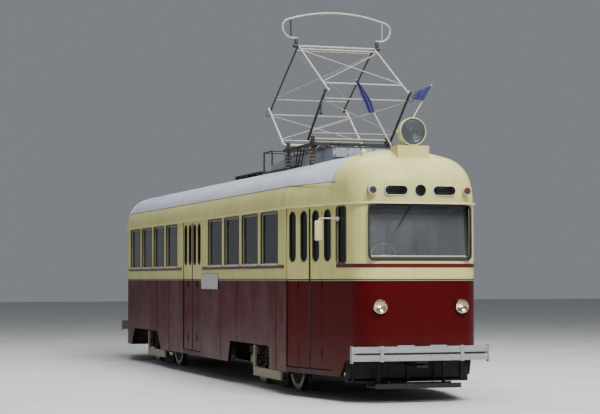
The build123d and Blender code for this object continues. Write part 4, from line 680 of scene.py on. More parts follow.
def stud_rule():
    """Round heads set out along edges: rivets and bolt heads, all facing one way."""
    tree, given = new_rule("studs_along_edges", (
        ("Radius", "NodeSocketFloat", 0.008), ("Height", "NodeSocketFloat", 0.004),
        ("Spacing", "NodeSocketFloat", 0.07), ("Facing", "NodeSocketVector", (0, 0, 1)),
        ("Sides", "NodeSocketInt", 8)))
    path = add(tree, "GeometryNodeMeshToCurve", {"Mesh": given.outputs["Geometry"]})
    dots = add(tree, "GeometryNodeResampleCurve", {"Curve": path.outputs[0], "Length": given.outputs["Spacing"]},
               mode="LENGTH")
    head = add(tree, "GeometryNodeMeshUVSphere", {"Segments": given.outputs["Sides"], "Rings": 6, "Radius": 1.0})
    size = add(tree, "ShaderNodeCombineXYZ", {0: given.outputs["Radius"], 1: given.outputs["Radius"],
                                              2: given.outputs["Height"]})
    turn = add(tree, "FunctionNodeAlignRotationToVector", {"Vector": given.outputs["Facing"]}, axis="Z")
    studs = add(tree, "GeometryNodeInstanceOnPoints",
                {"Points": dots.outputs[0], "Instance": head.outputs[0], "Rotation": turn.outputs[0],
                 "Scale": size.outputs[0]})
    smooth = add(tree, "GeometryNodeSetShadeSmooth", {"Geometry": studs.outputs[0]})
    return close_rule(tree, given, smooth.outputs[0])


def coil_rule():
    """Coil spring that stands on each point."""
    tree, given = new_rule("coil_on_points", (
        ("Coil radius", "NodeSocketFloat", 0.06), ("Wire", "NodeSocketFloat", 0.012),
        ("Height", "NodeSocketFloat", 0.2), ("Turns", "NodeSocketFloat", 6.0), ("Axis", "NodeSocketVector",
                                                                                (0, 0, 1))))
    spiral = add(tree, "GeometryNodeCurveSpiral",
                 {"Resolution": 16, "Rotations": given.outputs["Turns"], "Start Radius": given.outputs["Coil radius"],
                  "End Radius": given.outputs["Coil radius"], "Height": given.outputs["Height"]})
    ring = add(tree, "GeometryNodeCurvePrimitiveCircle", {"Resolution": 8, "Radius": given.outputs["Wire"]})
    skin = add(tree, "GeometryNodeCurveToMesh",
               {"Curve": spiral.outputs[0], "Profile Curve": ring.outputs[0], "Fill Caps": True})
    smooth = add(tree, "GeometryNodeSetShadeSmooth", {"Geometry": skin.outputs[0]})
    turn = add(tree, "FunctionNodeAlignRotationToVector", {"Vector": given.outputs["Axis"]}, axis="Z")
    dots = add(tree, "GeometryNodeMeshToPoints", {"Mesh": given.outputs["Geometry"]})
    coils = add(tree, "GeometryNodeInstanceOnPoints",
                {"Points": dots.outputs[0], "Instance": smooth.outputs[0], "Rotation": turn.outputs[0]})
    return close_rule(tree, given, coils.outputs[0])


RULES = {}


def grown(rule, name, paths, values, finish, body):
    """Runs a rule on loops or rows of points and keeps the result as a plain piece. Each path is (points, closed)."""
    if rule not in RULES:
        RULES[rule] = rule()
    tree = RULES[rule]
    points, edges = [], []
    for path, closed in paths:
        first = len(points)
        points += [tuple(p) for p in path]
        edges += [(first + i, first + i + 1) for i in range(len(path) - 1)]
        if closed:
            edges.append((len(points) - 1, first))
    data = bpy.data.meshes.new(name + "_path")
    data.from_pydata(points, edges, [])
    holder = bpy.data.objects.new(name + "_path", data)
    bpy.context.scene.collection.objects.link(holder)
    modifier = holder.modifiers.new("rule", "NODES")
    modifier.node_group = tree
    for item in tree.interface.items_tree:
        if item.item_type == "SOCKET" and item.in_out == "INPUT" and item.name in values:
            modifier[item.identifier] = values[item.name]
        if item.item_type == "SOCKET" and item.name == "Material":
            modifier[item.identifier] = finish
    graph = bpy.context.evaluated_depsgraph_get()
    mesh = bpy.data.meshes.new_from_object(holder.evaluated_get(graph), depsgraph=graph)
    mesh.name = name
    holder.modifiers.clear()
    bpy.data.objects.remove(holder)
    made = bpy.data.objects.new(name, mesh)
    bpy.context.scene.collection.objects.link(made)
    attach(made, body)
    return made


def placed(outline, turn, out=0.0):
    """Outline's points in the car, a distance in front of the flat place."""
    return [turn @ Vector((x, y, out)) for x, y in outline]


def roof_height(y):
    """Height of the roof's skin over the straight part of the car, across from the middle."""
    radius, start = 0.5, 2.750 + RAIL
    rise = CROWN - start
    inner = SIDE - radius
    crown = (inner ** 2 + rise ** 2 - radius ** 2) / (2 * (rise - radius))
    touch = inner + radius * math.cos(math.atan2(start - (CROWN - crown), inner))
    if abs(y) < touch:
        return CROWN - crown + math.sqrt(crown ** 2 - y * y)
    return start + math.sqrt(max(0.0, radius ** 2 - (abs(y) - inner) ** 2))


def outline_at(name, z):
    """The outer edge of a part of the body where a level plane cuts it, as points in order round the car."""
    cut = bmesh.new()
    cut.from_mesh(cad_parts[name].data)
    bmesh.ops.remove_doubles(cut, verts=cut.verts, dist=1e-5)
    made = bmesh.ops.bisect_plane(cut, geom=cut.verts[:] + cut.edges[:] + cut.faces[:], plane_co=(0, 0, z),
                                  plane_no=(0, 0, 1))
    flat = [v.co.xy for v in made["geom_cut"] if isinstance(v, bmesh.types.BMVert)]
    order = [Vector((flat[i].x, flat[i].y, z)) for i in geometry.convex_hull_2d(flat)]
    cut.free()
    return order


def bay_place(along, z, left=False, rear=False):
    """Turn that puts a flat outline on a tapered end bay, some way along it from the straight side."""
    angle = TAPER
    x = STRAIGHT + along * math.cos(angle)
    y = -SIDE + along * math.sin(angle)
    turn = Matrix(((math.cos(angle), 0, math.sin(angle), x), (math.sin(angle), 0, -math.cos(angle), y),
                   (0, 1, 0, z), (0, 0, 0, 1)))
    if left:
        turn = Matrix.Diagonal((1, -1, 1, 1)) @ turn
    if rear:
        turn = Matrix.Diagonal((-1, 1, 1, 1)) @ turn
    return turn


class DressWindows(bpy.types.Operator):
    """Rubber round every window, pale ledges under the side windows, and the deep rubber of both screens."""
    bl_idname = "tram.windows"
    bl_label = "Window rubbers"

    def execute(self, context):
        f, radius = FINISHES, context.scene.tram_sizes.gasket
        middle = (SILL + WINDOW_TOP) / 2
        opening = rounded(WINDOW_WIDTH, WINDOW_TOP - SILL, 0.04)
        cab = rounded(0.26, WINDOW_TOP - SILL, 0.06)
        places = [wall_place(x, middle) for x in WINDOW_MIDDLES]
        places += [wall_place(x, middle, True) for x in WINDOW_MIDDLES + [MIDDLE_DOOR]]
        bays = [bay_place(DOOR_WIDTH / 2, middle, True), bay_place(DOOR_WIDTH / 2, middle, True, True)]
        loops = [(placed(opening, turn, 0.001), True) for turn in places + bays]
        loops += [(placed(cab, bay_place(DOOR_WIDTH + 0.215, middle, left), 0.001), True) for left in (False, True)]
        loops += [(placed(opening, turn, -0.0125), True) for turn in places + bays]
        loops += [(placed(cab, bay_place(DOOR_WIDTH + 0.215, middle, left), -0.0125), True) for left in (False, True)]
        # the beads round the side windows are coloured with painted shade of the reveals
        grown(bead_rule, "side_window_rubber", loops, {"Radius": radius, "Sides": 8}, f["reveal_shade"], "body")
        inner = [(placed(rounded(WINDOW_WIDTH - 0.03, WINDOW_TOP - SILL - 0.03, 0.03), turn, -0.026), True)
                 for turn in places + bays]
        grown(bead_rule, "side_window_sashes", inner, {"Radius": 0.012, "Sides": 6}, f["sash"], "body")
        ledges = Build()
        for turn in places + bays:
            ledges.box((-WINDOW_WIDTH / 2 + 0.01, SILL - middle - 0.012, -0.02),
                       (WINDOW_WIDTH / 2 - 0.01, SILL - middle + 0.012, 0.014), turn, 0.004)
        ledges.piece("window_ledges", "body", "cream_enamel", f["pale_trim"])
        low, high = 1.905 + RAIL, 2.665 + RAIL
        lean = math.atan2(0.100, high - low)
        screens, ledges = Build(), Build()
        for end in (1, -1):
            front = Matrix(((0, 0, end, end * HALF), (1, 0, 0, 0), (0, 1, 0, (low + high) / 2), (0, 0, 0, 1)))
            glass = front @ Matrix.Translation((0, 0, -0.112)) @ Matrix.Rotation(-lean, 4, "X")
            for turn, wide, section in (
                    (front, 1.47, [(-0.006, -0.03), (0.017, -0.004), (0.018, 0.003), (0.010, 0.006), (-0.004, 0.004)]),
                    (glass, 1.466, [(0.002, -0.01), (0.002, 0.012), (-0.006, 0.018), (-0.026, 0.016), (-0.034, 0.008),
                                    (-0.034, -0.01)])):
                tall = (high - low) / math.cos(lean) if turn is glass else high - low - 0.022
                down = Matrix.Translation((0, 0 if turn is glass else -0.011, 0))
                outline = placed(rounded(wide, tall - 0.004, 0.06, 8), turn @ down)
                normal = turn.to_3x3() @ Vector((0, 0, 1))
                screens.moulding(outline, normal, section if end > 0 else [(-a, b) for a, b in section])
            ledges.box((-0.69, -0.345, 0.004), (0.69, -0.328, 0.016), glass, 0.003)
        screens.piece("screen_rubber_lips", "body", "screen_rubber", f["rubber"])
        ledges.piece("screen_ledges", "body", "bumper_paint", f["pale_trim"])
        return {"FINISHED"}


class MakeWipers(bpy.types.Operator):
    """Wiper on the windscreen: spindle at the top, arm, and blade."""
    bl_idname = "tram.wipers"
    bl_label = "Wipers"

    def execute(self, context):
        wiper = Build()
        top, low = Vector((HALF - 0.135, -0.085, 2.63 + RAIL)), Vector((HALF - 0.088, -0.235, 2.435 + RAIL))
        wiper.tube([top + Vector((-0.03, 0, 0)), top + Vector((0.022, 0, 0))], 0.011, 12)
        wiper.tube([top + Vector((0.014, 0, 0)), top.lerp(low, 0.5) + Vector((0.016, 0, 0)),
                    low + Vector((0.004, 0, 0))],
                   [0.009, 0.008, 0.006], 8)
        along = (low - top).normalized()
        a, b = low - along * 0.14, low + along * 0.14
        wiper.tube([a, low, b], [0.006, 0.010, 0.006], 6)
        wiper.piece("windscreen_wiper", "body", "screen_rubber", FINISHES["rubber"])
        return {"FINISHED"}


class DressDoors(bpy.types.Operator):
    """Rubber, glass and edge strips of the twelve door leaves, each on its own leaf."""
    bl_idname = "tram.doors"
    bl_label = "Door leaves"

    def execute(self, context):
        f = FINISHES
        length = (DOOR_WIDTH - 0.024 - 0.012 - 0.016) / 4
        starts = (0.012, 0.018 + length, DOOR_WIDTH - 0.018 - 2 * length, DOOR_WIDTH - 0.012 - length)
        middle = 2.25 + RAIL
        steps = 10
        slot = [(0.08 * math.cos(a),
                 0.27 + 0.08 * math.sin(a)) for a in (math.pi * k / steps for k in range(steps + 1))]
        slot += [(-x, -y) for x, y in slot]
        section = [(-0.006, -0.018), (-0.0005, -0.018), (-0.0005, -0.002), (0.011, -0.002), (0.013, 0.004),
                   (0.006, 0.008),
                   (-0.005, 0.005)]
        for name in DOORWAYS:
            place = door_place(name)
            for number, start in enumerate(starts, 1):
                made = Build()
                centre = place @ Vector((start + length / 2, 0.014, middle))
                turn = Matrix.Translation(centre) @ place.to_3x3().to_4x4() @ Matrix(
                    ((1, 0, 0, 0), (0, 0, -1, 0), (0, 1, 0, 0), (0, 0, 0, 1)))
                outward = turn.to_3x3() @ Vector((0, 0, 1))
                made.moulding(placed(slot, turn), outward, section)
                inner = turn @ Matrix.Translation((0, 0, -0.034)) @ Matrix.Diagonal((1, 1, -1, 1))
                made.moulding(placed(slot, inner), -outward, [(-a, b) for a, b in section])
                edge = {2: start + length, 3: start}.get(number)
                if edge is not None:
                    hand = 1 if number == 2 else -1
                    for reach, y0, y1 in ((0.006, 0.018, 0.044), (-0.012, 0.009, 0.018)):
                        x0, x1 = sorted((edge + hand * 0.004, edge + hand * reach)) if reach < 0 else sorted(
                            (edge, edge + hand * reach))
                        made.box((x0, y0, 0.44), (x1, y1, 2.66), place, 0.001)
                made.paint = 1
                made.plate([(x * 0.985, y * 0.997) for x, y in slot], 0.004,
                           turn @ Matrix.Translation((0, 0, -0.019)))
                made.piece(f"leaf_window_{name}_{number}", f"door_{name}_leaf_{number}", "screen_rubber", f["rubber"],
                           f["door_glass"])
        return {"FINISHED"}


class MakeHeadlamps(bpy.types.Operator):
    """Two headlamps: plated rim, bowl, a bulb that glows, and a domed glass."""
    bl_idname = "tram.headlamps"
    bl_label = "Headlamps"

    def execute(self, context):
        f = FINISHES
        made = Build()
        for y in (-LAMP_SIDE, LAMP_SIDE):
            turn = Matrix(((0, 0, 1, HALF), (1, 0, 0, y), (0, 1, 0, 1.276 + RAIL), (0, 0, 0, 1)))
            made.paint = 0
            made.turned([(0.0, -0.03), (0.096, -0.03), (0.1, 0.018), (0.1, 0.034), (0.095, 0.043), (0.088, 0.045),
                         (0.085, 0.04), (0.085, 0.0), (0.0, 0.0)], turn, 40)
            made.paint = 1
            bowl = [(0.084 * k / 10, 0.003 + 0.030 * (k / 10) ** 2) for k in range(11)]
            made.turned(bowl + [(0.084, 0.0015), (0.0, 0.0015)], turn, 40)
            made.paint = 2
            made.turned([(0.0, 0.004), (0.006, 0.006), (0.012, 0.014), (0.013, 0.021), (0.008, 0.028), (0.0, 0.030)],
                        turn, 16)
            made.paint = 3
            lens = [(0.0842 * (1 - k / 8), 0.0365 + 0.008 * math.cos(math.pi / 2 * (1 - k / 8))) for k in range(9)]
            made.turned([(0.0, 0.0345 + 0.006), (0.0842, 0.0345)] + lens, turn, 40)
        piece = made.piece("headlamp_rims_and_glass", "body", "lamp_glass", f["chrome"], f["reflector"],
                           f["bulb"], f["lamp_lens"])
        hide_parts("headlamps")
        return {"FINISHED"}


class MakeSigns(bpy.types.Operator):
    """Blank sign glasses over the windscreen with their pale rims, and the side markers."""
    bl_idname = "tram.signs"
    bl_label = "Signs"

    def execute(self, context):
        f = FINISHES
        z = 2.841 + RAIL
        rims, faces = Build(), Build()
        for y, wide, high, paint in ((-0.35, 0.33, 0.13, 0), (0.35, 0.33, 0.13, 0), (0, 0.168, 0.168, 0),
                                     (-0.685, 0.11, 0.11, 1), (0.685, 0.11, 0.11, 2)):
            depth = 0.016
            turn = Matrix(((0, 0, 1, HALF), (1, 0, 0, y), (0, 1, 0, z), (0, 0, 0, 1)))
            outline = rounded(wide, high, high / 2 - 0.0005, 12)
            rims.moulding(placed(outline, turn, depth - 0.004), (1, 0, 0),
                          [(-0.006, -0.06), (0.003, -0.06), (0.003, 0.003), (-0.001, 0.006), (-0.005, 0.004)])
            faces.paint = paint
            faces.plate([(a * 0.95, b * 0.95) for a, b in outline], 0.004,
                        turn @ Matrix.Translation((0, 0, depth - 0.004)), 0.002)
        rims.piece("sign_rims", "body", "cream_enamel", f["pale_trim"])
        faces.piece("blank_sign_glasses", "body", "sign_glass", f["sign_black"], f["grey_marker"], f["red_marker"])
        return {"FINISHED"}


class MakeRoofLamp(bpy.types.Operator):
    """Rim and glass of the big roof lamp."""
    bl_idname = "tram.roof_lamp"
    bl_label = "Roof lamp"

    def execute(self, context):
        f = FINISHES
        turn = Matrix(((0, 0, 1, 7.24), (1, 0, 0, 0), (0, 1, 0, 3.662 + RAIL), (0, 0, 0, 1)))
        made = Build()
        made.turned([(0.186, -0.05), (0.193, -0.05), (0.195, -0.02), (0.195, 0.012), (0.190, 0.022), (0.182, 0.022),
                     (0.178, 0.014), (0.178, 0.001), (0.186, 0.001)], turn, 48)
        for side in (-1, 1):
            made.box((7.14, side * 0.192, 3.64 + RAIL), (7.18, side * 0.206, 3.69 + RAIL), bevel=0.003)
        made.paint = 1
        steps = [(0.178 * k / 24,
                  0.002 + 0.010 * (k / 24) ** 2 + (0.004 if k in (7, 13, 19) else 0)) for k in range(25)]
        made.turned(steps + [(0.178, 0.001), (0.0, 0.001)], turn, 48)
        made.paint = 2
        made.turned([(0.0, 0.0025), (0.030, 0.004), (0.036, 0.010), (0.030, 0.014), (0.0, 0.015)], turn, 24)
        made.paint = 3
        lens = [(0.178 * (1 - k / 10), 0.0165 + 0.016 * math.cos(math.pi / 2 * (1 - k / 10))) for k in range(11)]
        made.turned([(0.0, 0.028), (0.178, 0.0155)] + lens, turn, 48)
        made.piece("roof_lamp_rim_and_glass", "body", "lamp_glass", f["cream"], f["reflector"], f["sash"],
                   f["roof_lens"])
        return {"FINISHED"}


class MakeRoofTrim(bpy.types.Operator):
    """Batten over the canvas's edge, and the lap seams across the roof."""
    bl_idname = "tram.roof_trim"
    bl_label = "Roof trim"

    def execute(self, context):
        f = FINISHES
        z = SEAM + 0.004
        loop = outline_at("roof_canvas", z)
        start = max(range(len(loop)), key=lambda i: loop[i].x + loop[i - 1].x)
        loop = loop[start:] + loop[:start]
        grown(bead_rule, "canvas_edge_batten", [(loop, False)], {"Radius": 0.007, "Sides": 6}, f["batten"], "body")
        seams = []
        for x in (-5.2, -3.45, -1.7, 0.05, 1.8, 3.55, 5.2):
            arch = []
            for k in range(25):
                y = -1.19 + 2.38 * k / 24
                arch.append((x, y, roof_height(y) + 0.0005))
            seams.append((arch, False))
        grown(bead_rule, "canvas_lap_seams", seams, {"Radius": 0.0035, "Sides": 6}, f["canvas"], "body")
        return {"FINISHED"}


class MakeSprings(bpy.types.Operator):
    """Coil springs of the bogies and of the pantograph."""
    bl_idname = "tram.springs"
    bl_label = "Coil springs"

    def execute(self, context):
        f = FINISHES
        for end, middle in BOGIES:
            feet = [((middle + x, y, 0.385 + RAIL),) for x in (-0.2, 0.2) for y in (-1.058, 1.058)]
            grown(coil_rule, f"{end}_bogie_springs", [(path, False) for path in feet],
                  {"Coil radius": 0.048, "Wire": 0.011, "Height": 0.25, "Turns": 5.5}, f["brake_dust"],
                  f"{end}_bogie")
            seats = Build()
            for (x, y, z), in feet:
                for low, high in ((z - 0.024, z - 0.006), (z + 0.256, z + 0.272)):
                    seats.turned([(0, 0), (0.064, 0), (0.064, high - low), (0, high - low)],
                                 Matrix.Translation((x, y, low)), 20)
                side = 1 if y > 0 else -1
                for low, high in ((z - 0.05, z - 0.02), (z + 0.268, z + 0.29)):
                    seats.box((x - 0.07, min(side * 0.99, side * 1.115), low),
                              (x + 0.07, max(side * 0.99, side * 1.115), high),
                              bevel=0.004)
            seats.piece(f"{end}_spring_seats", f"{end}_bogie", "bogie_paint", f["brake_dust"])
        base = (PANTO_X, 0, PANTO_BASE)
        rows = [((base[0] + x, y, base[2] + 0.06),) for x in (-0.52, ) for y in (-0.30, -0.12, 0.12, 0.30)]
        grown(coil_rule, "pantograph_springs", [(path, False) for path in rows],
              {"Coil radius": 0.034, "Wire": 0.0065, "Height": 0.42, "Turns": 20.0, "Axis": (1, 0, 0)},
              f["spring_steel"], "body")
        return {"FINISHED"}


class DressWheels(bpy.types.Operator):
    """Painted discs, hub caps and bolts on the wheels, brake shoes beside them, and bolted axle-box covers."""
    bl_idname = "tram.wheels"
    bl_label = "Wheels and brakes"

    def execute(self, context):
        f = FINISHES
        z = 0.380 + RAIL
        for end, middle in BOGIES:
            brakes, covers = Build(), Build()
            for number, offset in ((1, 0.9), (2, -0.9)):
                x = middle + offset
                disc = Build()
                for side in (-1, 1):
                    turn = Matrix(((1, 0, 0, x), (0, 0, side, side * 0.84), (0, 1, 0, z), (0, 0, 0, 1)))
                    disc.turned([(0.286, -0.03), (0.286, -0.012), (0.262, -0.006), (0.15, -0.036), (0.118, -0.03),
                                 (0.112, 0.004), (0.0, 0.004)], turn, 40)
                    for k in range(8):
                        a = 2 * math.pi * k / 8
                        place = turn @ Matrix.Translation((0.082 * math.cos(a), 0.082 * math.sin(a), 0.004))
                        disc.turned([(0.011, -0.004), (0.011, 0.010), (0.007, 0.013), (0, 0.013)], place, 6)
                    cover = Matrix(((1, 0, 0, x), (0, 0, side, side * 1.012), (0, 1, 0, z), (0, 0, 0, 1)))
                    covers.turned([(0.072, -0.002), (0.072, 0.004), (0.066, 0.009), (0.046, 0.010), (0.042, 0.016),
                                   (0.0, 0.019)], cover, 28)
                    for k in range(6):
                        a = 2 * math.pi * k / 6
                        place = cover @ Matrix.Translation((0.057 * math.cos(a), 0.057 * math.sin(a), 0.008))
                        covers.turned([(0.008, 0), (0.008, 0.007), (0.0, 0.007)], place, 6)
                    for hand in (-1, 1):
                        ring = []
                        for k in range(9):
                            a = math.radians(-26 + 6.5 * k)
                            ring.append((math.cos(a) * hand, math.sin(a)))
                        y0, y1 = sorted((side * 0.748, side * 0.818))
                        rows = [[brakes.mesh.verts.new((x + r * a, y, z + r * b))
                                 for r, y in ((0.387, y0), (0.425, y0), (0.425, y1), (0.387, y1))] for a, b in ring]
                        brakes.skin(rows)
                        brakes.box((x + hand * 0.44 - 0.02, y0 + 0.018, z - 0.03),
                                   (x + hand * 0.44 + 0.02, y1 - 0.018, z + 0.20),
                                   bevel=0.004)
                disc.piece(f"{end}_wheel_discs_{number}", f"{end}_wheelset_{number}", "bogie_paint", f["wheel_paint"])
            brakes.piece(f"{end}_brake_shoes", f"{end}_bogie", "bogie_paint", f["brake_dust"])
            covers.piece(f"{end}_axle_box_covers", f"{end}_bogie", "shield_paint", f["box_cover"])
        return {"FINISHED"}


class DressBumpers(bpy.types.Operator):
    """Bolt heads on the bumpers and the two raised lugs on their upper edge."""
    bl_idname = "tram.bumpers"
    bl_label = "Bumper fittings"

    def execute(self, context):
        f = FINISHES
        made = Build()
        for end in (1, -1):
            for y in (-0.93, -0.58, 0.58, 0.93):
                x = HALF + 0.0755 - y * y / 16 + (0.009 if abs(y) == 0.58 else 0)
                for z in (0.592, 0.700):
                    turn = Matrix(((0, 0, end, end * x), (1, 0, 0, y), (0, 1, 0, z + RAIL), (0, 0, 0, 1)))
                    made.turned([(0.013, -0.002), (0.013, 0.005), (0.008, 0.009), (0, 0.010)], turn, 10)
            for y in (-0.24, 0.23):
                x = HALF + 0.075 - 0.036
                made.box((min(end * x, end * (x + 0.034)), y - 0.12, 0.739 + RAIL),
                         (max(end * x, end * (x + 0.034)), y + 0.12, 0.757 + RAIL), bevel=0.006)
        made.piece("bumper_bolts_and_lugs", "body", "bumper_paint", f["silver"])
        return {"FINISHED"}


class DressRoofCase(bpy.types.Operator):
    """Rivets, edge strips and louvres of the long case on the roof, the cables round it, and the planks to walk on."""
    bl_idname = "tram.roof_case"
    bl_label = "Roof case, cables and planks"

    def execute(self, context):
        f, sizes = FINISHES, context.scene.tram_sizes
        top = CROWN + 0.150
        front, back, half = PANTO_X + 1.110, PANTO_X - 2.050, 0.440
        rows = [[(front + 0.001, -half + 0.03, CROWN + z), (front + 0.001, half - 0.03, CROWN + z)] for z in (0.030,
                                                                                                              0.125)]
        grown(stud_rule, "roof_case_front_rivets", [(row, False) for row in rows],
              {"Radius": 0.013, "Height": 0.008, "Spacing": 0.17, "Facing": (1, 0, 0), "Sides": 8}, f["mast_dark"],
              "body")
        for side in (-1, 1):
            rows = [[(back + 0.95, side * (half + 0.001), CROWN + z), (front - 0.04, side * (half + 0.001), CROWN + z)]
                    for z in (0.02, 0.125)]
            grown(stud_rule, "roof_case_rivets_" + ("right" if side < 0 else "left"), [(row, False) for row in rows],
                  {"Radius": sizes.rivet, "Height": 0.005, "Spacing": 0.14, "Facing": (0, side, 0), "Sides": 8},
                  f["mast_dark"], "body")
        edge = Build()
        edge.box((front - 0.03, -half - 0.006, top - 0.004), (front + 0.008, half + 0.006, top + 0.010), bevel=0.003)
        edge.box((front - 0.002, -half - 0.006, CROWN - 0.012), (front + 0.030, half + 0.006, CROWN + 0.006),
                 bevel=0.003)
        for side in (-1, 1):
            y0, y1 = sorted((side * (half - 0.004), side * (half + 0.010)))
            edge.box((back + 0.90, y0, top - 0.004), (front, y1, top + 0.010), bevel=0.003)
        edge.piece("roof_case_edges", "body", "roof_equipment_paint", f["mast_dark"])
        louvres = Build()
        for side in (-1, 1):
            for k in range(9):
                x = back + 1.15 + k * 0.055
                louvres.box((x, side * half - 0.012, CROWN + 0.045), (x + 0.03, side * half + 0.012, CROWN + 0.105),
                            bevel=0.005)
        louvres.piece("roof_case_louvres", "body", "roof_equipment_paint", f["case_grey"])
        cables = Build()
        for y, lift in ((-0.50, 0.0), (-0.545, 0.012), (-0.59, 0.0), (0.50, 0.0)):
            rows = [(PANTO_X - 2.75 + k * 0.25, y * min(1.0, 0.62 + 0.08 * k)) for k in range(11)]
            run = [(x, off, roof_height(off) + 0.014 + lift) for x, off in rows]
            cables.tube(run + [(PANTO_X - 0.05, y * 1.06, CROWN + 0.10), (PANTO_X + 0.08, y * 1.10, CROWN + 0.235)],
                        0.011, 8)
        for y, x in ((-0.28, 0.93), (-0.20, 1.00), (0.22, 0.95)):
            cables.tube([(PANTO_X + x, y, top - 0.01), (PANTO_X + x + 0.02, y * 1.1, top + 0.05),
                         (PANTO_X + x - 0.10, y * 1.3, top + 0.07), (PANTO_X + x - 0.20, y * 1.4,
                                                                     top - 0.01)], 0.010, 8)
        cables.piece("roof_cables", "body", "roof_equipment_paint", f["rubber"])
        plank = Build()
        for x in (-0.35, 0.35, 1.05):
            plank.box((x - 0.03, -0.40, roof_height(0.40) - 0.004), (x + 0.03, -0.16, roof_height(0.16) + 0.026),
                      bevel=0.004)
        for y in (-0.385, -0.295, -0.205):
            plank.box((-0.45, y, roof_height(0.16) + 0.020), (1.20, y + 0.075, roof_height(0.16) + 0.045), bevel=0.004)
        plank.piece("roof_planks", "body", "roof_equipment_paint", f["plank"])
        return {"FINISHED"}


def stuffed(name, size, cap):
    """Mesh of a stuffed cushion about its middle: a rounded block blown up as cloth, its movement capped, its
    underside left flat."""
    soft = 0.026
    block = bmesh.new()
    bmesh.ops.create_cube(block, size=1.0)
    bmesh.ops.subdivide_edges(block, edges=block.edges[:], cuts=7, use_grid_fill=True)
    for v in block.verts:
        out = Vector([c * s for c, s in zip(v.co, size)])
        core = Vector([max(soft - s / 2, min(s / 2 - soft, c)) for c, s in zip(out, size)])
        v.co = core + (out - core).normalized() * soft
    data = bpy.data.meshes.new(name + "_block")
    block.to_mesh(data)
    block.free()
    before = [v.co.copy() for v in data.vertices]
    holder = bpy.data.objects.new(name + "_block", data)
    scene = bpy.context.scene
    scene.collection.objects.link(holder)
    cloth = holder.modifiers.new("cloth", "CLOTH")
    cloth.settings.use_pressure = True
    cloth.settings.uniform_pressure_force = 4.0
    cloth.settings.effector_weights.gravity = 0
    cloth.point_cache.frame_end = 20
    for number in range(1, 21):
        scene.frame_set(number)
    graph = bpy.context.evaluated_depsgraph_get()
    after = [v.co.copy() for v in holder.evaluated_get(graph).data.vertices]
    holder.modifiers.clear()
    scene.frame_set(1)
    for v, old, new in zip(data.vertices, before, after):
        move = new - old
        v.co = old + move * min(1.0, cap / max(move.length, 1e-6))
        v.co.z = max(v.co.z, -size[2] / 2)
    smooth = holder.modifiers.new("smooth", "SUBSURF")
    smooth.levels = smooth.render_levels = 1
    graph = bpy.context.evaluated_depsgraph_get()
    mesh = bpy.data.meshes.new_from_object(holder.evaluated_get(graph), depsgraph=graph)
    holder.modifiers.clear()
    bpy.data.objects.remove(holder)
    return mesh


def cushions(name, mesh, turns):
    """One padded piece from a stuffed mesh put in several places."""
    made = Build()
    for turn in turns:
        one = bmesh.new()
        one.from_mesh(mesh)
        made.join(one, turn)
    piece = made.piece(name, "body", "seat_leather", FINISHES["seat"], smooth=80)


class MakeSeats(bpy.types.Operator):
    """Saloon seats and the driver's chair: stuffed leathercloth cushions with piping on steel tube frames."""
    bl_idname = "tram.seats"
    bl_label = "Seats"

    def execute(self, context):
        f = FINISHES
        base = 1.240 + RAIL
        starts = [4.2 - 0.78 * k for k in range(5)] + [-5.16 + 0.78 * k for k in range(6)]
        seat, back = stuffed("seat", (0.375, 0.41, 0.062), 0.012), stuffed("back", (0.41, 0.41, 0.036), 0.009)
        places = {"right": [(-0.96, 1.02)], "left": [(0.58, 0.94), (0.98, 0.94)]}
        frames, piping = Build(), []
        lean = Matrix(((0, 0, 1, 0), (0, 1, 0, 0), (-1, 0, 0, 0), (0, 0, 0, 1)))
        pads = {"right": ([], []), "left": ([], [])}
        for x in starts:
            for side, spots in places.items():
                low = min(y for y, wide in spots) - 0.215
                high = max(y for y, wide in spots) + 0.215
                for y, wide in spots:
                    size = Matrix.Diagonal((1, wide, 1, 1))
                    pads[side][0].append(Matrix.Translation((x + 0.26, y, base + 0.039)) @ size)
                    pads[side][1].append(Matrix.Translation((x + 0.040, y, base + 0.300)) @ size @ lean)
                    outline = rounded(0.365, 0.40 * wide, 0.03, 3)
                    piping.append(([(x + 0.26 + a, y + b, base + 0.066) for a, b in outline], True))
                frames.paint = 0
                frames.box((x + 0.07, low, base - 0.022), (x + 0.46, high, base + 0.006), bevel=0.004)
                frames.box((x, low, base + 0.06), (x + 0.016, high, base + 0.512), bevel=0.004)
                frames.paint = 1
                for y in (low + 0.03, high - 0.03):
                    frames.tube([(x + 0.42, y, FLOOR), (x + 0.42, y, base - 0.02)], 0.012, 8)
                    frames.tube([(x + 0.10, y, FLOOR), (x + 0.06, y, base - 0.02), (x + 0.03, y, base + 0.10),
                                 (x + 0.022, y, base + 0.49)], 0.012, 8)
                    for foot in (0.10, 0.42):
                        frames.turned([(0, 0), (0.028, 0), (0.028, 0.006), (0, 0.006)],
                                      Matrix.Translation((x + foot, y, FLOOR - 0.004)), 10)
                y = high if side == "right" else low
                frames.tube([(x + 0.008, y - 0.10, base + 0.50), (x + 0.008, y - 0.10, base + 0.516),
                             (x + 0.008, y, base + 0.516),
                             (x + 0.008, y, base + 0.40)], 0.010, 8)
        for side in places:
            cushions(f"seat_cushions_{side}", seat, pads[side][0])
            cushions(f"seat_backs_{side}", back, pads[side][1])
        chair = Matrix.Translation((6.72, 0.27, 1.382)), Matrix.Translation((6.485, 0.27, 1.66)) @ lean
        cushions("driver_seat_cushion", seat, [chair[0]])
        cushions("driver_seat_back", back, [chair[1]])
        piping.append(([(6.72 + a, 0.27 + b, 1.409) for a, b in rounded(0.365, 0.40, 0.03, 3)], True))
        grown(bead_rule, "seat_piping", piping, {"Radius": 0.0045, "Sides": 6}, f["rubber"], "body")
        done = frames.piece("seat_frames", "body", "handrail_metal", f["plywood"], f["chrome"])
        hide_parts("seats")
        return {"FINISHED"}


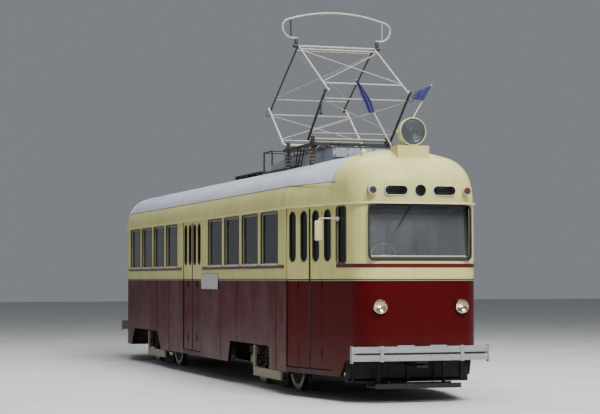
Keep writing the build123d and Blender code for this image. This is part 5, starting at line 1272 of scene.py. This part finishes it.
class FitCab(bpy.types.Operator):
    """Driver's desk with its dials and levers, hand wheel on a column, and the chair's frame."""
    bl_idname = "tram.cab"
    bl_label = "Cab"

    def execute(self, context):
        f = FINISHES
        made = Build()
        top = 1.600 + RAIL
        made.box((7.08, -0.56, top - 0.10), (7.33, 0.56, top), bevel=0.012)
        made.box((7.10, -0.50, FLOOR), (7.19, 0.50, top - 0.09), bevel=0.006)
        for y in (-0.38, -0.12, 0.14, 0.40):
            made.box((7.088, y - 0.115, 0.95), (7.102, y + 0.115, top - 0.14), bevel=0.004)
        made.box((7.22, -0.20, top - 0.01), (7.31, 0.30, top + 0.13), bevel=0.01)
        made.box((7.12, 0.34, top - 0.01), (7.28, 0.54, top + 0.16), bevel=0.02)
        made.paint = 1
        for y in (-0.12, 0.03, 0.18):
            turn = Matrix(((0, 0, -1, 7.22), (1, 0, 0, y), (0, -1, 0, top + 0.07), (0, 0, 0, 1)))
            made.turned([(0.052, -0.002), (0.052, 0.012), (0.046, 0.016), (0.044, 0.010), (0, 0.010)], turn, 28)
        made.tube([(7.2, 0.44, top + 0.155), (7.2, 0.44, top + 0.20), (7.12, 0.40, top + 0.21)], 0.009, 10)
        made.turned([(0, 0), (0.02, 0.002), (0.026, 0.02), (0.018, 0.04), (0, 0.044)],
                    Matrix.Translation((7.12, 0.40, top + 0.20)), 16)
        made.tube([(6.72, 0.27, FLOOR), (6.72, 0.27, 1.33)], [0.10, 0.045], 20)
        made.tube([(6.56, 0.27, 1.335), (6.50, 0.27, 1.36), (6.465, 0.27, 1.50), (6.465, 0.27, 1.84)], 0.016, 10)
        made.box((6.53, 0.08, 1.325), (6.91, 0.46, 1.351), bevel=0.004)
        made.paint = 2
        middle, axis = Vector((7.185, -0.43, 1.955 + RAIL)), Vector((-0.954, 0, 0.30))
        turn = Matrix.Translation(middle) @ axis.to_track_quat("Z", "Y").to_matrix().to_4x4()
        rim = [turn @ Vector((0.174 * math.cos(a), 0.174 * math.sin(a),
                              0)) for a in (math.pi * k / 24 for k in range(48))]
        made.tube(rim, 0.012, 10, closed=True)
        for k in range(3):
            a = math.pi * (k / 1.5 + 0.5)
            made.tube([turn @ Vector((0.02 * math.cos(a), 0.02 * math.sin(a), -0.01)),
                       turn @ Vector((0.17 * math.cos(a), 0.17 * math.sin(a), 0))], 0.0085, 8)
        made.turned([(0, -0.05), (0.035, -0.045), (0.035, 0.0), (0.02, 0.012), (0, 0.014)], turn, 20)
        made.paint = 1
        made.tube([middle - axis * 0.04, (7.215, -0.43, top + 0.17), (7.215, -0.43, top - 0.01)], 0.022, 12)
        piece = made.piece("desk_wheel_and_chair_frame", "body", "cab_paint", f["cab_green"], f["chrome"], f["bone"])
        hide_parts("cab_fittings")
        return {"FINISHED"}


class LineSaloon(bpy.types.Operator):
    """Painted ceiling inside the roof, with its row of opal lamps."""
    bl_idname = "tram.ceiling"
    bl_label = "Ceiling"

    def execute(self, context):
        f = FINISHES
        made = Build()
        across = [-1.2 + 2.4 * k / 32 for k in range(33)]
        rings = []
        for x in (-5.42, 0.0, 5.42):
            under = [(x, y, min(roof_height(y), roof_height(1.1)) - 0.10 if abs(y) > 1.1 else roof_height(y) - 0.10)
                     for y in across]
            over = [(x, y, z + 0.012) for x, y, z in under]
            rings.append([made.mesh.verts.new(p) for p in under + over[::-1]])
        made.skin(rings)
        made.piece("ceiling_lining", "body", "cab_paint", f["ceiling"])
        lamps = Build()
        for k in range(7):
            x = -4.8 + 1.6 * k
            z = CROWN - 0.104
            turn = Matrix.Translation((x, 0, z)) @ Matrix.Diagonal((1, 1, -1, 1))
            lamps.paint = 0
            lamps.turned([(0, -0.01), (0.11, -0.01), (0.11, 0.008), (0.095, 0.018), (0, 0.018)], turn, 24)
            lamps.paint = 1
            lamps.turned([(0.088, 0.016)] + [(0.09 * math.cos(a), 0.018 + 0.075 * math.sin(a))
                                             for a in (math.pi / 2 * j / 7 for j in range(8))], turn, 24)
        lamps.piece("ceiling_lamps", "body", "lamp_glass", f["chrome"], f["opal"])
        return {"FINISHED"}


class FinishNose(bpy.types.Operator):
    """Painted shade in the gap between the bumper's rails, a black plate behind the lifeguard that partly stands for
    the shade under the nose, and the red tail lamps.
    """
    bl_idname = "tram.nose"
    bl_label = "Ends below the windows"

    def execute(self, context):
        f = FINISHES
        gap, plate = Build(), Build()
        # a black strip in the gap between the bumper's rails: painted shade
        for end in (1, -1):
            rings = []
            for k in range(25):
                y = -0.93 + 1.86 * k / 24
                x = HALF + 0.0755 - y * y / 16
                rings.append([gap.mesh.verts.new((end * a, y, b + RAIL)) for a, b in
                              ((x - 0.012, 0.6315), (x + 0.0012, 0.6315), (x + 0.0012, 0.6575), (x - 0.012, 0.6575))])
            gap.skin(rings)
            # black plate behind the lifeguard: partly the dark equipment under the nose, partly painted shade that
            # hides the bright floor
            x0, x1 = sorted((end * 6.985, end * 7.0))
            plate.box((x0, -0.902, 0.235 + RAIL), (x1, 0.902, 0.60 + RAIL), bevel=0.004)
            for y in (-0.80, -0.40, 0.0, 0.40, 0.80):
                x0, x1 = sorted((end * 7.0, end * 7.02))
                plate.box((x0, y - 0.02, 0.25 + RAIL), (x1, y + 0.02, 0.59 + RAIL), bevel=0.003)
            x0, x1 = sorted((end * 6.9, end * 7.0))
            for z in (0.26, 0.56):
                plate.box((x0, -0.86, z + RAIL), (x1, 0.86, z + 0.03 + RAIL), bevel=0.003)
        gap.piece("bumper_gap_painted_shade", "body", "underframe_paint", f["sign_black"])
        plate.piece("apron_plates_and_painted_shade", "body", "underframe_paint", f["black_iron"])
        lamps = Build()
        for y in (-LAMP_SIDE, LAMP_SIDE):
            turn = Matrix(((0, 0, -1, -HALF), (1, 0, 0, y), (0, -1, 0, 1.020 + RAIL), (0, 0, 0, 1)))
            lamps.paint = 0
            lamps.turned([(0, -0.013), (0.052, -0.013), (0.055, 0.002), (0.055, 0.028), (0.051, 0.034), (0.045, 0.034),
                          (0.043, 0.026), (0, 0.026)], turn, 32)
            lamps.paint = 1
            lamps.turned([(0.043, 0.0265)] + [(0.0428 * math.cos(a), 0.028 + 0.012 * math.sin(a))
                                              for a in (math.pi / 2 * k / 7 for k in range(8))], turn, 32)
        piece = lamps.piece("tail_lamp_rims_and_glass", "body", "lamp_glass", f["chrome"], f["tail_lens"])
        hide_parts("tail_lamps")
        return {"FINISHED"}


class DressSides(bpy.types.Operator):
    """Half-round strips over the joints of the lower panels, with their screws."""
    bl_idname = "tram.sides"
    bl_label = "Panel joints"

    def execute(self, context):
        f, sizes = FINISHES, context.scene.tram_sizes
        joints = {"right": (2.86, 1.84, -1.83, -2.86, 4.98), "left": (4.30, 2.86, 1.42, -0.02, -1.46, -2.90, -4.34)}
        strips = []
        for side, places in joints.items():
            y = (-SIDE if side == "right" else SIDE) * 1.0002
            for x in places:
                foot = 0.70 if 2.3 < abs(x) < 4.7 or -5.2 < x < -2.4 else 0.355
                strips.append(([(x, y, foot), (x, y, BELT - 0.016)], False))
        grown(bead_rule, "panel_joint_strips", strips, {"Radius": 0.0042, "Sides": 8}, f["maroon"], "body")
        for side, sign in (("right", -1), ("left", 1)):
            rows = []
            for x in joints[side]:
                foot = 0.72 if 2.3 < abs(x) < 4.7 or -5.2 < x < -2.4 else 0.37
                for out in (-0.018, 0.018):
                    rows.append([(x + out, sign * SIDE, foot), (x + out, sign * SIDE, BELT - 0.03)])
            grown(stud_rule, f"panel_joint_screws_{side}", [(row, False) for row in rows],
                  {"Radius": 0.004, "Height": 0.0018, "Spacing": sizes.rivet_step * 2, "Facing": (0, sign, 0),
                   "Sides": 6},
                  f["maroon"], "body")
        return {"FINISHED"}


class DressSteps(bpy.types.Operator):
    """Ribbed aluminium treads and nosings on the steps behind the doors."""
    bl_idname = "tram.steps"
    bl_label = "Step treads"

    def execute(self, context):
        f = FINISHES
        made = Build()
        for name in DOORWAYS:
            place = door_place(name)
            for low, front, deep in ((0.413, 0.07, 0.30), (0.660, 0.39, 0.24)):
                made.box((0.07, front, low + 0.0005), (DOOR_WIDTH - 0.07, front + 0.028, low + 0.006), place, 0.001)
                for k in range(int(deep / 0.03)):
                    y = front + 0.042 + 0.03 * k
                    made.box((0.09, y, low + 0.0005), (DOOR_WIDTH - 0.09, y + 0.012, low + 0.0035), place)
        made.piece("step_treads", "body", "step_steel", f["tread"])
        return {"FINISHED"}


class MakeMirror(bpy.types.Operator):
    """Cream mirror on its bent arm, its silvered side to the rear."""
    bl_idname = "tram.mirror"
    bl_label = "Mirror"

    def execute(self, context):
        f = FINISHES
        made = Build()
        middle = Vector((6.90, -1.252, 2.305 + RAIL))
        turn = Matrix.Translation(middle) @ Matrix(((0, 0, 1, 0), (1, 0, 0, 0), (0, 1, 0, 0), (0, 0, 0, 1)))
        made.plate(rounded(0.098, 0.27, 0.018, 5), 0.016, turn, 0.006)
        made.paint = 1
        made.moulding(placed(rounded(0.100, 0.272, 0.018, 5), turn, -0.002), (1, 0, 0),
                      [(-0.005, -0.006), (0.003, -0.006), (0.003, 0.006), (-0.005, 0.006)])
        top = middle + Vector((0.004, 0, 0.128))
        made.tube([(6.868, -0.965, 2.470 + RAIL), (6.872, -1.02, 2.474 + RAIL), (6.895, -1.20, 2.474 + RAIL),
                   (6.904, -1.245, 2.466 + RAIL), tuple(top)], 0.0085, 10)
        foot = Matrix.Translation((6.868, -0.972, 2.470 + RAIL)) @ Matrix.Rotation(TAPER, 4, "Z") @ Matrix(
            ((1, 0, 0, 0), (0, 0, -1, 0), (0, 1, 0, 0), (0, 0, 0, 1)))
        made.turned([(0, -0.02), (0.032, -0.02), (0.032, 0.006), (0.016, 0.012), (0, 0.012)], foot, 20)
        made.paint = 2
        made.plate(rounded(0.088, 0.26, 0.014, 5), 0.003, turn @ Matrix.Translation((0, 0, -0.0015)) @ Matrix.Diagonal(
            (1, 1, -1, 1)), 0.001)
        piece = made.piece("mirror_head_and_arm", "body", "mirror_paint", f["cream"], f["pale_trim"], f["silvering"])
        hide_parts("mirror")
        return {"FINISHED"}


class DressMast(bpy.types.Operator):
    """Glazed sheds of the pantograph's insulators, its spring boxes, knee shunts and hanging lever."""
    bl_idname = "tram.mast"
    bl_label = "Pantograph fittings"

    def execute(self, context):
        f = FINISHES
        sheds = Build()
        for x in (-0.615, 0.615):
            for y in (-0.6, 0.6):
                profile = [(0.0, -0.060), (0.043, -0.060)]
                for rise in (0.0, 0.055, 0.110, 0.165):
                    profile += [(0.043, rise - 0.016), (0.056, rise - 0.010), (0.068, rise - 0.012),
                                (0.070, rise - 0.006),
                                (0.060, rise + 0.006), (0.043, rise + 0.016)]
                sheds.turned(profile + [(0.043, 0.203), (0.0, 0.203)],
                             Matrix.Translation((PANTO_X + x, y, CROWN)), 24)
        sheds.piece("insulator_sheds", "body", "roof_equipment_paint", f["porcelain"])
        apex, horn = CROWN + 1.790, CROWN + 1.910
        boxes = Build()
        for side in (-1, 1):
            boxes.box((PANTO_X + 0.006, side * PANTO_ARM - 0.022, apex + 0.022),
                      (PANTO_X + 0.050, side * PANTO_ARM + 0.022, horn - 0.004),
                      bevel=0.004)
            boxes.tube([(PANTO_X + 0.028, side * PANTO_ARM - 0.045, apex),
                        (PANTO_X + 0.028, side * PANTO_ARM + 0.045, apex)], 0.029, 16)
        boxes.tube([(PANTO_X + 0.028, -0.750, horn + 0.01), (PANTO_X + 0.028, -0.752, CROWN + 2.205)], 0.0115, 10)
        boxes.piece("bow_spring_boxes", "pantograph_bow", "pantograph_steel", f["mast_dark"])
        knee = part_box("pantograph_lower_front")[1]
        x, z = knee[0] - 0.022, knee[2] - 0.022
        lever = Build()
        for side in (-1, 1):
            lever.tube([(x - 0.10, side * PANTO_ARM, z - 0.09), (x - 0.06, side * 0.70, z - 0.13),
                        (x - 0.01, side * 0.712, z - 0.12),
                        (x + 0.012, side * 0.700, z - 0.05), (x - 0.002, side * 0.668, z - 0.015)], 0.006, 8)
        low = Vector((x - 0.13, -PANTO_ARM, z - 0.11))
        lever.tube([low, low + Vector((0.01, -0.02, -0.05)), low + Vector((0.012, -0.03, -0.20))], 0.011, 10)
        lever.turned([(0, 0), (0.02, 0.006), (0.024, 0.03), (0.012, 0.06), (0, 0.062)],
                     Matrix.Translation(low + Vector((0.012, -0.03, -0.24))), 14)
        lever.piece("front_knee_shunts_and_lever", "pantograph_lower_front", "pantograph_steel", f["mast_dark"])
        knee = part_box("pantograph_lower_rear")[0]
        x = knee[0] + 0.022
        rear = Build()
        for side in (-1, 1):
            rear.tube([(x + 0.10, side * PANTO_ARM, z - 0.09), (x + 0.06, side * 0.70, z - 0.13),
                       (x + 0.01, side * 0.712, z - 0.12),
                       (x - 0.012, side * 0.700, z - 0.05), (x + 0.002, side * 0.668, z - 0.015)], 0.006, 8)
        rear.piece("rear_knee_shunts", "pantograph_lower_rear", "pantograph_steel", f["mast_dark"])
        return {"FINISHED"}


class MakeFlags(bpy.types.Operator):
    """Two blue flags in soft folds on their poles."""
    bl_idname = "tram.flags"
    bl_label = "Flags"

    def execute(self, context):
        f = FINISHES
        x = HALF - 0.545
        # for each flag: foot and tip of its pole, part of the pole that it covers, then rows from low to high: where
        # the cloth starts and ends beside the pole, across and up
        for number, (foot, tip, low, high, edges, folds, depth) in enumerate((
                ((-0.20, 3.475), (-0.719, 4.383), 0.51, 0.985,
                 ((0.004, -0.088, -0.02), (0.045, -0.062, -0.03), (0.030, -0.050, -0.015),
                  (0.006, -0.022, 0.004)), 2.2,
                 0.014),
                ((-0.13, 3.475), (0.404, 4.353), 0.735, 0.985,
                 ((0.0, -0.165, 0.012), (0.0, -0.200, -0.02), (0.0, -0.225, -0.055),
                  (0.0, -0.250, -0.095)), 2.5, 0.016)), 1):
            foot, tip = Vector((x, foot[0], foot[1] + RAIL)), Vector((x, tip[0], tip[1] + RAIL))
            along = tip - foot
            rows, columns = 30, 22
            grid = []
            for i in range(rows + 1):
                share = i / rows
                at = share * (len(edges) - 1)
                k = min(int(at), len(edges) - 2)
                part = at - k
                near, far, fall = (a + (b - a) * part for a, b in zip(edges[k], edges[k + 1]))
                start = foot + along * (low + (high - low) * share) + Vector((0.026, 0, 0))
                row = []
                for j in range(columns + 1):
                    t = j / columns
                    wave = depth * math.sin(folds * 2 * math.pi * t + 1.6 * share) * min(1, t * 3)
                    wave += 0.4 * depth * math.sin(5.0 * math.pi * share + 3 * t) * t
                    sag = -0.012 * math.sin(math.pi * share) * t * t
                    row.append(start + Vector((wave, near + (far - near) * t, fall * t + sag)))
                grid.append(row)
            made = Build()
            rings = [[made.mesh.verts.new(p) for p in row] for row in grid]
            for a, b in zip(rings, rings[1:]):
                for i in range(columns):
                    made.mesh.faces.new((a[i], a[i + 1], b[i + 1], b[i]))
            area = sum(face.calc_area() for face in made.mesh.faces)
            piece = made.piece(f"flag_cloth_{number}", "body", "flag_cloth", f["flag"], smooth=80)
            if number == 1:
                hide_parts("flags")
        return {"FINISHED"}


class MakeStage(bpy.types.Operator):
    """Floor, soft light and the camera where the photographer stood."""
    bl_idname = "tram.stage"
    bl_label = "Stage"

    def execute(self, context):
        paint = Paint("pale_studio_floor")
        tone = paint.mix(paint.cloud(0.6, 4, 0.3, 0.7), linear("#C9C9C6"), linear("#BDBDBA"))
        data = bpy.data.meshes.new("studio_floor")
        data.from_pydata([(-90, -90, 0), (90, -90, 0), (90, 90, 0), (-90, 90, 0)], [], [(0, 1, 2, 3)])
        data.materials.append(paint.shade({"Base Color": tone, "Roughness": 0.9}))
        floor = bpy.data.objects.new("studio_floor", data)
        context.scene.collection.objects.link(floor)
        world = bpy.data.worlds.new("soft_sky")
        world.use_nodes = True
        back = world.node_tree.nodes["Background"]
        back.inputs["Color"].default_value = linear("#C6CCD4")
        back.inputs["Strength"].default_value = 0.37
        context.scene.world = world
        for name, spot, target, size, power in (
                ("front_softbox", (21, 1, 19), (6, 0, 1.5), 11, 8200),
                ("side_softbox", (2, -20, 20), (0, 0, 1.5), 14, 300),
                ("top_softbox", (1, 1, 16), (1, 0, 2), 16, 3600)):
            lamp = bpy.data.lights.new(name, "AREA")
            lamp.shape = "SQUARE"
            lamp.size = size
            lamp.energy = power
            holder = bpy.data.objects.new(name, lamp)
            holder.location = spot
            holder.rotation_euler = (Vector(target) - Vector(spot)).to_track_quat("-Z", "Y").to_euler()
            context.scene.collection.objects.link(holder)
        camera = bpy.data.cameras.new("photo_camera")
        camera.sensor_width = 36
        camera.lens = 98.76
        camera.clip_end = 400
        holder = bpy.data.objects.new("photo_camera", camera)
        yaw, pitch, roll = (math.radians(v) for v in (17.854, 2.466, -0.089))
        ahead = Vector((-math.cos(yaw) * math.cos(pitch), math.sin(yaw) * math.cos(pitch), math.sin(pitch)))
        flat = ahead.cross(Vector((0, 0, 1))).normalized()
        high = flat.cross(ahead)
        right = math.cos(roll) * flat + math.sin(roll) * high
        up = -math.sin(roll) * flat + math.cos(roll) * high
        turn = Matrix((right, up, -ahead)).transposed().to_4x4()
        holder.matrix_world = Matrix.Translation((28.1605, -8.3635, 1.6897)) @ turn
        context.scene.collection.objects.link(holder)
        context.scene.camera = holder
        return {"FINISHED"}


STEPS = (GiveFinishes, DressWindows, MakeWipers, DressDoors, MakeHeadlamps, MakeSigns, MakeRoofLamp,
         MakeRoofTrim, MakeSprings, DressWheels, DressBumpers, FinishNose, DressSides, DressSteps, DressRoofCase,
         MakeMirror, DressMast, MakeFlags, MakeSeats, FitCab, LineSaloon, MakeStage)


class TramPanel(bpy.types.Panel):
    """Lists the sizes, the colours and the steps."""
    bl_idname = "VIEW3D_PT_tram"
    bl_label = "Tram motor car"
    bl_space_type = "VIEW_3D"
    bl_region_type = "UI"
    bl_category = "Tram"

    def draw(self, context):
        for group in (context.scene.tram_sizes, context.scene.tram_colours):
            for name in group.__annotations__:
                self.layout.prop(group, name)
        for step in STEPS:
            self.layout.operator(step.bl_idname)


CLASSES = (CarSizes, CarColours) + STEPS + (TramPanel,)


def register():
    for made in CLASSES:
        bpy.utils.register_class(made)
    bpy.types.Scene.tram_sizes = PointerProperty(type=CarSizes)
    bpy.types.Scene.tram_colours = PointerProperty(type=CarColours)


def unregister():
    del bpy.types.Scene.tram_sizes
    del bpy.types.Scene.tram_colours
    for made in reversed(CLASSES):
        bpy.utils.unregister_class(made)


def main():
    """Runs every step in order."""
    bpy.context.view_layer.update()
    register()
    for step in STEPS:
        getattr(bpy.ops.tram, step.bl_idname.split(".")[1])()


if __name__ == "__main__":
    main()
